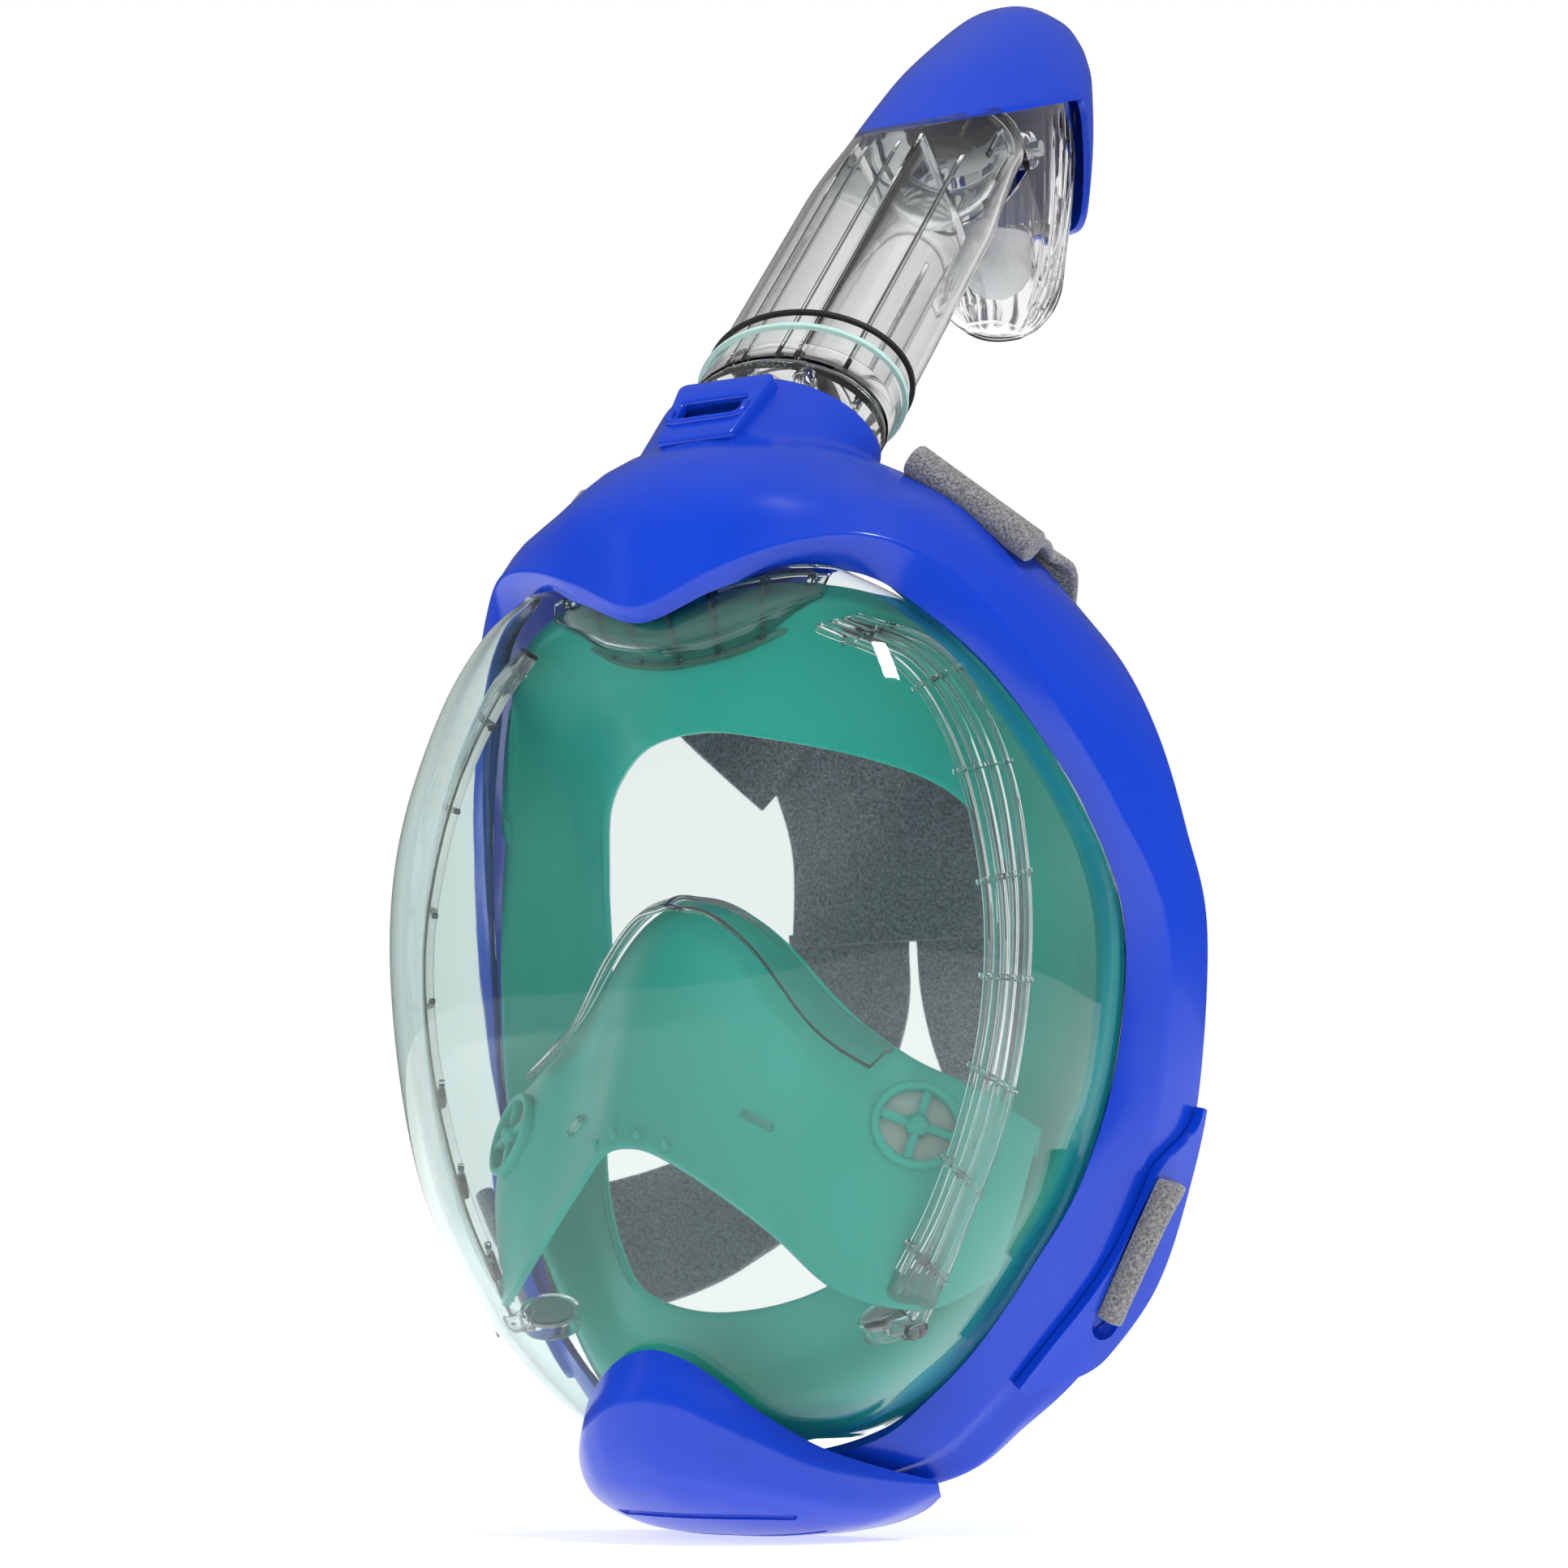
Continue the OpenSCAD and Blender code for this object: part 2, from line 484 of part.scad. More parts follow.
module dry_top_housing() {
    color(clear) difference() {
        translate(head_at) bowl(level_rings(head_rows, 0, 12), level_rings(head_rows, 1.7, 12), 1.2);
        on_tube() translate([0, 0, tube_mouth - 70]) oval(tube_rx + 0.05, tube_ry + 0.05, 70);
    }
}
function upside_down(rows) = [for (r = rows) [-r[0], r[1], r[2], r[3], -r[4]]];
// Rear flap of the cap, a bowed plate that hangs down behind the grille.
tail_w = 20;
function tail_at(x, u) = let(top = 23.5 - x * x / 100, low = -15 + x * x / 30)
    [x * (1 - 0.05 * u), 61 - x * x / 40 + 1.5 * sin(180 * u) - 1.5 * u, top + (low - top) * u];
module cap_tail() {
    g = [for (i = [0:12]) [for (j = [0:4]) tail_at((i / 6 - 1) * tail_w, j / 4)]];
    shell(g, thick(g, -cap_t, false), false);
}
module snorkel_cap() {
    color(frame_blue) translate(head_at) union() {
        mirror([0, 0, 1]) bowl(level_rings(upside_down(cap_rows), 0, 12),
            level_rings(upside_down(cap_rows), cap_t, 12), 1);
        cap_tail();
    }
}
// Air inlet: a comb of ribs between the housing and the cap's flap, joined along its low end.
module grille_rib(x) {
    hull() {
        translate([x, 54.3 - x * x / 45, 20]) cube([1, 7.4, 1], center = true);
        translate([x * 0.9, 52.8 - x * x / 45, -10]) cube([1, 4.2, 1], center = true);
    }
}
module rear_grille() {
    color(clear) translate(head_at) {
        for (k = [-4:4]) grille_rib(k * 2.6);
        for (k = [-4:3]) hull() for (x = [k, k + 1] * 2.34)
            translate([x, 52.8 - x * x / 36, -10]) cube([0.6, 2, 2], center = true);
    }
}
cup_rx = 20;
cup_ry = 13.5;
module cup_solid(less) {
    translate([0, 0, tube_mouth - 16]) oval(cup_rx - less, cup_ry - less, 15);
    translate([0, 0, tube_mouth - 16]) scale([(cup_rx - less) / (cup_ry - less), 1, 0.7])
        sphere(r = cup_ry - less);
}
// Rounded cup in the mouth of the tube: it catches splashes before they run down.
module float_cage() {
    color(clear) on_tube() difference() {
        union() {
            cup_solid(0);
            translate([0, 0, tube_mouth - 3]) oval(tube_rx - tube_t - 0.2, tube_ry - tube_t - 0.2, 2);
        }
        translate([0, 0, 0.2]) cup_solid(1.2);
        translate([0, 0, tube_mouth - 2]) oval(cup_rx - 1.2, cup_ry - 1.2, 4);
    }
}

// Float, arm and seal turn together on the pin behind the tube's mouth.
pin_at = head_at + [0, 16, -1];
pin_r = 2;
float_r = 9;
float_from_pin = [0, 13, -22];
module float_pin() {
    color(metal) translate(pin_at) rotate([0, 90, 0]) cylinder(r = pin_r, h = 38, center = true);
}
module float() {
    color([0.9, 0.9, 0.9]) translate(pin_at + float_from_pin) {
        translate([0, 0, -5]) cylinder(r = float_r, h = 10);
        translate([0, 0, -5]) scale([1, 1, 0.8]) sphere(r = float_r);
    }
}
module float_arm() {
    color([0.85, 0.86, 0.88]) {
        difference() {
            translate(pin_at) rotate([0, 90, 0]) cylinder(r = 4, h = 12, center = true);
            translate(pin_at) rotate([0, 90, 0]) cylinder(r = pin_r + 0.06, h = 14, center = true);
        }
        translate(pin_at) rotate([180 - atan2(float_from_pin[1], float_from_pin[2]), 0, 0])
            translate([-2.5, -1.2, 3.1]) cube([5, 2.4, 15]);
        on_tube() translate([-2.6, -2, tube_mouth + head_rise + 8.8]) cube([5.2, 11.6, 2.2]);
    }
}
module float_seal() {
    color(black) on_tube() translate([0, -3, tube_mouth + 7.4]) oval(16, 11, 2.4);
}

// ---- Harness --------------------------------------------------------------------------------
// Anchor plate on the lower side wall, through which the lower strap is looped. It tapers to a
// point at both ends.
function ramp(x, low, high) = let(u = min(max((x - low) / (high - low), 0), 1)) u * u * (3 - 2 * u);
function clip_at(i, j) = let(t = 9.3 + i * 3.2 / 14, front = 2.5 - 2.1 * ramp(t, 9.3, 10.1),
    rear = 2.95 - 1.7 * ramp(t, 11.7, 12.5)) patch(wall_rows, t, front + (rear - front) * j / 4);
function clip_grid() = [for (i = [0:14]) [for (j = [0:4]) clip_at(i, j)]];
module lower_clip() {
    g = clip_grid();
    color(frame_blue) shell(thick(g, 3, false), thick(g, 0.4, false), false);
}
module lower_clip_left() { lower_clip(); }
module lower_clip_right() { mirror([1, 0, 0]) lower_clip(); }

// A strap: the middle line runs through the given points, and each has the direction of the
// webbing's width there.
module strap(line, widths, w = strap_w) {
    last = len(line) - 1;
    g = [for (i = [0:last * 4]) let(p = curve(line, i / 4), d = unit(curve(widths, i / 4)))
        [p - d * w / 2, p, p + d * w / 2]];
    color(strap_grey) shell(thick(g, strap_t / 2, false), thick(g, -strap_t / 2, false), false);
}
bar_along = unit([0.75, 0.17, -0.64]);
upper_line = body_points([[56, -18.3, 89.3], [57, -11, 96], [53, -3, 94.6], [50.5, 14, 90.4],
    [47.5, 25, 80], [43, 44, 66], [28, 61.8, 54]]);
upper_widths = [bar_along, bar_along, bar_along, bar_along, [0.75, 0, -0.65], [0.7, -0.3, -0.6],
    [0.2, -0.05, -1]];
module upper_strap_left() { strap(upper_line, upper_widths); }
module upper_strap_right() { mirror([1, 0, 0]) upper_strap_left(); }
clip_bar = unit([0.4, 0.09, 0.91]);
lower_line = body_points([[83.2, 9.6, -71.6], [85, 16.5, -73.2], [83.5, 20.8, -73.2], [79, 25, -72.5],
    [68, 38, -69.5], [52, 54, -61], [34, 65.5, -44], [20, 66, -14], [18, 62.5, 6]]);
lower_widths = [clip_bar, clip_bar, clip_bar, clip_bar, [0.35, 0.15, 0.92], [0.4, 0.25, 0.88],
    [0.6, 0.2, 0.77], [0.95, 0.1, 0.25], [1, 0, 0]];
module lower_strap_left() { strap(lower_line, lower_widths); }
module lower_strap_right() { mirror([1, 0, 0]) lower_strap_left(); }
// Head panel behind the wearer's head: rows of points on its half outline, from the low edge up.
panel_rows = [for (z = [[4, 34], [12, 33], [28, 33.5], [44, 39], [58, 47], [66, 49]])
    body_points([for (k = [0:4]) [z[1] * k / 4, 58.8 + pow(z[1] * k / 4, 2) / 700, z[0]]])];
module harness_panel() {
    g = whole_strip([for (i = [0:12]) [for (s = [0:0.5:5]) patch(panel_rows, i * 4 / 12, s)]]);
    color(strap_grey) shell(g, thick(g, -strap_t, false), false);
}

// Small screws that hold the chin cover and the two lower clips to the frame.
module frame_screws() {
    color(metal) for (s = [-1, 1]) {
        translate(fit([s * 28, -4, -128.6])) cylinder(r = 2.4, h = 6.5);
        translate(fit([s * 72, 12.5, -90])) rotate([0, s * 90, 0]) cylinder(r = 1.6, h = 6, center = true);
    }
}

frame();
chin_cover();
lens();
lens_gasket();
face_skirt();
nose_pocket();
pocket_bracket();
crown_duct();
channel_left();
channel_right();
inhale_valve_left();
inhale_valve_right();
exhale_valve_left();
exhale_valve_right();
drain_seat();
drain_valve();
snorkel_tube();
snorkel_base();
latch_tongue();
base_o_ring();
base_seal();
dry_top_housing();
rear_grille();
snorkel_cap();
float_cage();
float_pin();
float();
float_arm();
float_seal();
lower_clip_left();
lower_clip_right();
upper_strap_left();
upper_strap_right();
lower_strap_left();
lower_strap_right();
harness_panel();
frame_screws();
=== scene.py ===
import math

import bmesh
import bpy
import numpy as np
from mathutils import Matrix, Vector
from mathutils.bvhtree import BVHTree


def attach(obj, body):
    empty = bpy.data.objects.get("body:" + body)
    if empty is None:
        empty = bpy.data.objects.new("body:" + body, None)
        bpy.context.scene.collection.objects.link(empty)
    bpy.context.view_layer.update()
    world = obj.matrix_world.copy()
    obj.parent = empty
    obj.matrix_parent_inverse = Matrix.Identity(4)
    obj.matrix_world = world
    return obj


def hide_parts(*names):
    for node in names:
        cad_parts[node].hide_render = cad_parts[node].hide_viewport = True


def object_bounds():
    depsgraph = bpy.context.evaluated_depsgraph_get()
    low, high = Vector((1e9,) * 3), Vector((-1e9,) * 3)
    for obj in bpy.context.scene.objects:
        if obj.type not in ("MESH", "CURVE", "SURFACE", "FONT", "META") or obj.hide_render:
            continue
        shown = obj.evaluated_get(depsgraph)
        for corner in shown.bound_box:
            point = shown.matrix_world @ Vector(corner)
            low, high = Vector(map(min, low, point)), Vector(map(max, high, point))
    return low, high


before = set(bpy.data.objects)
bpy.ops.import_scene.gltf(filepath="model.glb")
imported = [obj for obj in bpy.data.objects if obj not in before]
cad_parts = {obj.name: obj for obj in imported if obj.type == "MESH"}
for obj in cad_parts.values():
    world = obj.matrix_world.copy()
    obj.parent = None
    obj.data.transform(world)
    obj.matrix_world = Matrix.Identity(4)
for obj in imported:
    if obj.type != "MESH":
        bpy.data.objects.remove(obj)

# Looks of the full-face snorkel mask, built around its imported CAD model.
# Lengths in the tables are in millimetres. The body's tables are laid out from the lens rim, and
# to_frame() brings them to the frame of the CAD model, whose origin is the face opening's centre.
# +X is the wearer's left, +Y points towards the wearer's face, +Z is up.
CAD_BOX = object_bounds()

MM = 0.001
REAR_Y = 20.0
LEAN = math.radians(41.6)
SOCKET = np.array([0.0, 0.0, 121.7])
TUBE_UP = np.array([0.0, math.sin(LEAN), math.cos(LEAN)])
TUBE_REAR = np.array([0.0, math.cos(LEAN), -math.sin(LEAN)])
TUBE_RX, TUBE_RY, TUBE_T = 26.0, 19.0, 1.6
TUBE_MOUTH = 118.0
HEAD = SOCKET + (TUBE_MOUTH + 4.0) * TUBE_UP
PIN = HEAD + np.array([0.0, 16.0, -1.0])

# ---- Control curves --------------------------------------------------------------------------
# Half curves from the top centre of the mask round to the chin.
RIM_INNER = [(0, -63.8, 63.4), (17, -61, 69.5), (30, -54, 73.6), (44, -45.8, 73.2),
    (55.6, -40.5, 66.1), (66, -29, 54.2), (74, -19, 39.5), (80.5, -9, 23), (85, 0, 0),
    (82.8, 0.6, -30), (76.3, -4.3, -56.8), (66, -9, -76), (54.8, -12.2, -92.4), (44, -14, -103.5),
    (34, -20, -112.6), (18, -32, -118), (0, -36, -119.5)]
RIM_CREASE = [(0, -66, 66), (18, -62.5, 74), (34, -56.5, 79.5), (48, -48.5, 80.7),
    (60.4, -36, 74.9), (71.4, -24.2, 60.2), (79.5, -15.6, 42.5), (86.4, -5.6, 24.4),
    (92.8, 5, 0.7), (91, 7, -31), (86, 6, -53), (76, 2.5, -74), (64, -3, -91.5), (52, -7, -107),
    (40, -10, -117), (21, -24, -122.5), (0, -29, -124)]
WALL_FRONT = [(0, -64, 90), (21, -58, 92), (37, -45, 93), (52, -34, 89), (65, -20, 79),
    (76, -10, 61), (84, -5, 43), (89.5, 4, 23.5), (94.5, 10.5, 0.4), (92.5, 12, -31.5),
    (87.5, 11.5, -54), (78, 8, -76), (65.5, 1.5, -94), (53, -3, -108), (41.5, -6, -117.5),
    (22, -16, -124), (0, -20, -126)]
WALL_REAR = [(0, -38, 109), (23, -30, 108), (41, -16, 101), (56, -8, 92), (68, 0, 77), (79, 3, 60),
    (87, 5, 42), (92, 11, 22), (95.5, 15.5, 0.2), (93.5, 16.5, -32.3), (88.5, 17, -55),
    (80, 14, -78), (67.5, 6, -97), (56, 1, -110.5), (44.5, -2, -120.5), (22.5, -8, -126), (0, -11, -127)]
REAR_EDGE = [(0, 12, 104), (24, 13, 102), (44, 15, 93), (58, 16, 84), (69, 15, 72), (80, 14, 58),
    (88.5, 13, 41), (93, 16.5, 21), (96, 20, 0), (94, 20, -33), (89, 20, -56), (81, 18, -80),
    (68.5, 10, -99), (57, 5, -110.5), (45.5, 1, -120), (23, -2, -126), (0, -4, -127)]
CHIN_LIP = [(0, -58.7, -93), (8, -57.8, -95), (15, -54.9, -99.6), (22, -49.8, -106),
    (30, -38, -113.5), (37, -22, -118.5), (42.5, -9, -121.5)]
CHIN_NOSE = [(0, -61.5, -106), (8, -60.5, -107), (15, -57.5, -110), (22, -51.5, -114),
    (30, -39.5, -119), (37, -23, -121.5), (43, -8.8, -122.3)]
CHIN_FRONT = [(0, -53, -122), (8, -52, -122), (15, -49.5, -122.6), (22, -44, -124),
    (30, -34, -125.5), (37, -20.5, -125), (43, -8.3, -123.2)]
CHIN_UNDER = [(0, -31, -132.6), (8, -30.5, -132.6), (15, -29, -132.3), (22, -26, -131.7),
    (30, -20.5, -130.4), (37, -14, -127.8), (42.6, -7.5, -124.2)]
CHIN_REAR = [(0, -5, -134.5), (8, -5, -134.4), (15, -4.6, -134), (22, -4, -133), (30, -3, -131.2),
    (37, -3.4, -128.4), (42, -5.5, -125.2)]
SKIRT_EDGE = [(0, -50, 70), (30, -44, 72), (54, -31, 64), (70, -12, 44), (80, 3, 20), (83, 9, -6),
    (80, 9, -34), (72, 4, -62), (58, -3, -86), (38, -11, -106), (0, -24, -115)]
SKIRT_RIDGE = [(0, -54, 64), (28, -46, 66.5), (51, -31.5, 60), (67.5, -10, 47), (77, -1, 26),
    (79.3, 0.4, -1), (75.7, -2.6, -33), (66, -8, -59), (51, -14, -82), (33, -23, -99),
    (0, -36, -108)]
SKIRT_MID = [(0, -46, 52), (22, -38, 54), (42, -22, 50), (57, -3, 38), (65, 7, 22), (67, 10, -2),
    (64, 7, -30), (56, -2, -54), (43, -12, -74), (26, -23, -90), (0, -31, -98)]
SKIRT_LIP = [(0, -39, 42.5), (14.5, -37.2, 40.8), (32.7, -20.4, 36.7), (45.5, -5.2, 29.7),
    (52.5, 6, 16), (54.5, 11, -2), (53, 8, -26), (47, -3, -48), (36, -15, -68),
    (21.4, -24.9, -80.5), (0, -30, -85)]
SKIRT_SEAL = [(0, -32, 45), (16, -29, 44), (37, -11, 40), (53, 6, 32), (61.5, 16, 17),
    (64, 18, -4), (62, 17, -28), (55, 9, -52), (42, -4, -73), (25, -15, -87), (0, -20, -92)]
POCKET_REAR = [(0, -31, -4), (10, -30, -6), (20, -28, -14), (33, -25, -27), (46, -19, -38),
    (56, -12, -44), (66, -6, -50)]
POCKET_CREST = [(0, -42, 4.3), (10, -39.3, 2.2), (20, -37, -5), (33.4, -33.5, -20.5),
    (47, -30, -31), (60, -22, -38), (69, -12, -46)]
POCKET_FRONT = [(0, -56, -16), (9, -53.5, -18), (18.5, -49, -28), (30, -46, -45), (43, -43, -53),
    (57, -34, -58), (67, -18, -62)]
POCKET_ARCH = [(0, -69.5, -50), (7, -68, -51.4), (16, -62.5, -57.5), (28, -56, -67.5),
    (41, -50, -80), (54, -36, -84), (61, -17, -77)]
RAIL_INNER = [(37, -51, 61), (53, -42, 52), (65, -41, 32), (71.8, -41.5, 5), (72, -41.5, -18),
    (67.6, -41.5, -40), (59.5, -42, -62), (49, -42.4, -81)]
RAIL_OUTER = [(43, -44.5, 63.5), (58.5, -37, 56), (72, -34.9, 34), (77.6, -35, 7),
    (77.4, -35.5, -19), (72.5, -36, -45), (63, -36.5, -68), (51.5, -34, -88)]
DUCT_TOP = [(0, -58, 68), (16, -55.5, 71.5), (28, -49.5, 73.5), (36, -43.5, 73.5)]
DUCT_FRONT = [(0, -58, 59), (15, -55.5, 61.5), (26, -50.5, 66), (34.6, -44.5, 69)]
DUCT_LOW = [(0, -49.5, 55.8), (14, -47, 58), (24, -43, 62.5), (33, -38.5, 67)]
LENS_ROWS = [(-112, 30, -15, -46), (-105, 41, -13, -51), (-92, 54.8, -11.5, -57.5),
    (-75, 66.5, -8, -65), (-56.8, 75.8, -4, -70.5), (-30, 82.3, 0.4, -74.5), (0, 84.5, 0, -76),
    (25, 79.3, -9.5, -74.5), (50.2, 67.4, -24, -68.5), (66, 54, -38.5, -62), (74.6, 40, -47, -58)]
HEAD_ROWS = [(-45, 28, 9, 6.5, 0), (-41, 27.5, 16, 10.5, 0), (-33, 28, 22, 13.5, 0.03),
    (-23, 27, 23, 16, 0.08), (-13, 22.7, 27.3, 19, 0.15), (0, 17.8, 32, 21.6, 0.25),
    (12, 16.1, 33, 22, 0.4)]
CAP_ROWS = [(47.6, 48, 3.4, 2.4, 0), (46.4, 46.7, 10.6, 6.8, 0), (43.3, 43.6, 18.6, 11.3, 0.1),
    (35, 36.8, 27.8, 16, 0.2), (27.2, 30, 35, 19, 0.27), (19.7, 24.1, 40.1, 21.5, 0.33),
    (12, 18.2, 44.2, 23.6, 0.37)]
UPPER_ROLL = [(42.6, -17.3, 104.3), (69.9, -11.3, 82.2)]
UPPER_LINE = [(56.2, -14.3, 93.2), (56.5, -6, 95), (53.8, 3, 93.8), (53.5, 14, 91.2), (48, 27, 82),
    (43.5, 44, 69), (30, 61.4, 51)]
BAR_ALONG = (0.751, 0.166, -0.64)
UPPER_WIDTHS = [*[BAR_ALONG] * 4, (0.75, 0, -0.65), (0.7, -0.3, -0.6), (0.2, -0.05, -1)]
LOWER_ROLL = [(92.2, 7.0, -57.4), (76.9, 7.0, -87.0)]
LOWER_LINE = [(84.0, 8.5, -72.2), (83.6, 15.5, -73), (82.3, 20.3, -73), (78.5, 25, -72.5),
    (68, 38, -69.5), (52, 54, -61), (34, 65.5, -44), (20, 66, -14), (18, 62.5, 6)]
CLIP_BAR = (0.4, 0.09, 0.91)
LOWER_WIDTHS = [*[CLIP_BAR] * 4, (0.35, 0.15, 0.92), (0.4, 0.25, 0.88), (0.6, 0.2, 0.77),
    (0.95, 0.1, 0.25), (1, 0, 0)]


# ---- Curves and grids ------------------------------------------------------------------------
def flip(points):
    return np.asarray(points, float) * (-1, 1, 1)


def spline(k, t, closed=False):
    """Points at t of the smooth curve through k, one control point for each whole number."""
    k, t = np.asarray(k, float), np.asarray(t, float)
    n = len(k)
    if closed:
        i = np.floor(t).astype(int)
        a, b, c, d = (k[(i + j) % n] for j in (-1, 0, 1, 2))
    else:
        padded = np.concatenate([[2 * k[0] - k[1]], k, [2 * k[-1] - k[-2]]])
        i = np.clip(np.floor(t).astype(int), 0, n - 2)
        a, b, c, d = (padded[i + j] for j in (0, 1, 2, 3))
    u = (t - i).reshape((-1,) + (1,) * (k.ndim - 1))
    h = u * u * (3 - 2 * u)
    return b * (1 - h) + c * h + (c - a) / 2 * u * (1 - u) ** 2 - (d - b) / 2 * u * u * (1 - u)


def whole(row, closed):
    """A half curve and its mirror image, from one end to the other or right round."""
    row = np.asarray(row, float)
    if closed:
        return np.concatenate([row, flip(row[-2:0:-1])])
    return np.concatenate([flip(row[:0:-1]), row])


def surface(rows, nt, ss, kind):
    """Grid of points [along, across]. kind is loop, strip (both sides) or half (as given)."""
    table = np.array([row if kind == "half" else whole(row, kind == "loop") for row in rows])
    n = table.shape[1]
    t = np.arange(nt) * n / nt if kind == "loop" else np.linspace(0, n - 1, nt)
    lines = spline(table.transpose(1, 0, 2), t, kind == "loop")
    return spline(lines.transpose(1, 0, 2), ss).transpose(1, 0, 2)


def normals(g, loop):
    """Unit normals of a grid."""
    if loop:
        a = np.roll(g, -1, 0) - np.roll(g, 1, 0)
    else:
        a = np.gradient(g, axis=0)
    n = np.cross(a, np.gradient(g, axis=1))
    return n / np.maximum(np.linalg.norm(n, axis=2, keepdims=True), 1e-9)


def to_frame(p):
    p = np.array(p, float)
    p[..., 1] -= REAR_Y
    return p * MM


def on_tube(x, y, z):
    """Point with tube coordinates: z runs up the tube and y is its rear side."""
    x, y, z = np.broadcast_arrays(np.asarray(x, float), y, z)
    return SOCKET + x[..., None] * (1.0, 0.0, 0.0) + y[..., None] * TUBE_REAR + z[..., None] * TUBE_UP


def ease(x, low, high):
    t = np.clip((np.asarray(x, float) - low) / (high - low), 0, 1)
    return t * t * (3 - 2 * t)


def rounded_corner(g, index, r, steps=4):
    """Replaces one column of a grid by an arc of about radius r."""
    a, b, c = g[:, index - 1], g[:, index], g[:, index + 1]
    p = b + (a - b) * (r / np.linalg.norm(a - b, axis=1, keepdims=True)).clip(0, 0.9)
    q = b + (c - b) * (r / np.linalg.norm(c - b, axis=1, keepdims=True)).clip(0, 0.9)
    arc = [(1 - u) ** 2 * p + 2 * u * (1 - u) * b + u * u * q for u in np.linspace(0, 1, steps)]
    return np.concatenate([g[:, :index], np.stack(arc, 1), g[:, index + 1:]], 1)


# ---- Meshes ----------------------------------------------------------------------------------
def grid_faces(n, m, close_n, close_m, at=0):
    i, j = np.meshgrid(np.arange(n if close_n else n - 1), np.arange(m if close_m else m - 1),
                       indexing="ij")
    k, l = (i + 1) % n, (j + 1) % m
    return (np.stack([i * m + j, k * m + j, k * m + l, i * m + l], -1) + at).reshape(-1, 4).tolist()


def mesh_object(name, points, faces):
    """Object from frame-free millimetre points, with its faces turned outwards."""
    mesh = bpy.data.meshes.new(name)
    mesh.from_pydata(to_frame(points).tolist(), [], faces)
    bm = bmesh.new()
    bm.from_mesh(mesh)
    bmesh.ops.remove_doubles(bm, verts=bm.verts, dist=1e-6)
    bmesh.ops.recalc_face_normals(bm, faces=bm.faces)
    if bm.calc_volume(signed=True) < 0:
        bmesh.ops.reverse_faces(bm, faces=bm.faces)
    bm.to_mesh(mesh)
    bm.free()
    mesh.polygons.foreach_set("use_smooth", [True] * len(mesh.polygons))
    obj = bpy.data.objects.new(name, mesh)
    bpy.context.scene.collection.objects.link(obj)
    return obj


def shell(name, outer, inner, loop):
    """Closed wall between two grids of one size, open in the middle if loop."""
    n, m = outer.shape[:2]
    points = np.concatenate([outer, inner[:, ::-1]], 1)
    faces = grid_faces(n, 2 * m, loop, True)
    if not loop:
        for row in (0, n - 1):
            at = row * 2 * m
            faces += [[at + j, at + j + 1, at + 2 * m - 2 - j, at + 2 * m - 1 - j] for j in range(m - 1)]
    return mesh_object(name, points.reshape(-1, 3), faces)


def wall(name, g, thickness, loop):
    """Wall of that thickness on a grid; a negative one lies on the other side."""
    return shell(name, g + thickness * normals(g, loop), g, loop)


def ring_solid(name, g):
    """Closed solid of a grid that is closed both ways."""
    n, m = g.shape[:2]
    return mesh_object(name, g.reshape(-1, 3), grid_faces(n, m, True, True))


def capped(name, g):
    """Solid of stacked rings, with a fan over each end."""
    n, m = g.shape[:2]
    points = np.concatenate([g.reshape(-1, 3), [g[0].mean(0), g[-1].mean(0)]])
    faces = grid_faces(n, m, False, True)
    for j in range(m):
        k = (j + 1) % m
        faces += [[n * m, j, k], [n * m + 1, (n - 1) * m + k, (n - 1) * m + j]]
    return mesh_object(name, points, faces)


def sweep(name, path, profile, side, closed=False):
    """Bar along a path. profile holds (across, out) pairs, and side is the across direction."""
    path = np.asarray(path, float)
    along = (np.roll(path, -1, 0) - np.roll(path, 1, 0)) if closed else np.gradient(path, axis=0)
    along /= np.linalg.norm(along, axis=1, keepdims=True)
    side = np.broadcast_to(np.asarray(side, float), path.shape)
    side = side - along * (side * along).sum(1, keepdims=True)
    side = side / np.linalg.norm(side, axis=1, keepdims=True)
    out = np.cross(along, side)
    profile = np.asarray(profile, float)
    g = path[:, None] + profile[None, :, :1] * side[:, None] + profile[None, :, 1:] * out[:, None]
    return ring_solid(name, g) if closed else capped(name, g)


def round_profile(r, n=10, squash=1.0):
    a = np.arange(n) * 2 * math.pi / n
    return np.stack([r * np.cos(a), squash * r * np.sin(a)], 1)


def box_profile(w, h, r, n=3):
    """Rounded rectangle, w across and h out."""
    corners = [(w / 2 - r, h / 2 - r, 0), (r - w / 2, h / 2 - r, 90), (r - w / 2, r - h / 2, 180),
               (w / 2 - r, r - h / 2, 270)]
    return np.array([(x + r * math.cos(math.radians(a + k * 90 / n)),
                      y + r * math.sin(math.radians(a + k * 90 / n)))
                     for x, y, a in corners for k in range(n + 1)])


def plate(name, outline, low, high, place):
    """Flat plate: an outline of (u, v) points between two heights, put in place by place(u, v, w)."""
    n = len(outline)
    points = [place(u, v, w) for w in (low, high) for u, v in outline]
    faces = [list(range(n))[::-1], list(range(n, 2 * n))]
    faces += [[j, (j + 1) % n, n + (j + 1) % n, n + j] for j in range(n)]
    return mesh_object(name, points, faces)


def baked(obj):
    """Applies the object's modifiers."""
    mesh = bpy.data.meshes.new_from_object(obj.evaluated_get(bpy.context.evaluated_depsgraph_get()))
    obj.modifiers.clear()
    obj.data = mesh
    return obj


def cut(obj, *cutters):
    """Takes the cutters away from obj and deletes them."""
    for cutter in cutters:
        mod = obj.modifiers.new("cut", "BOOLEAN")
        mod.operation, mod.solver, mod.object = "DIFFERENCE", "EXACT", cutter
    baked(obj)
    for cutter in cutters:
        bpy.data.objects.remove(cutter)
    return obj


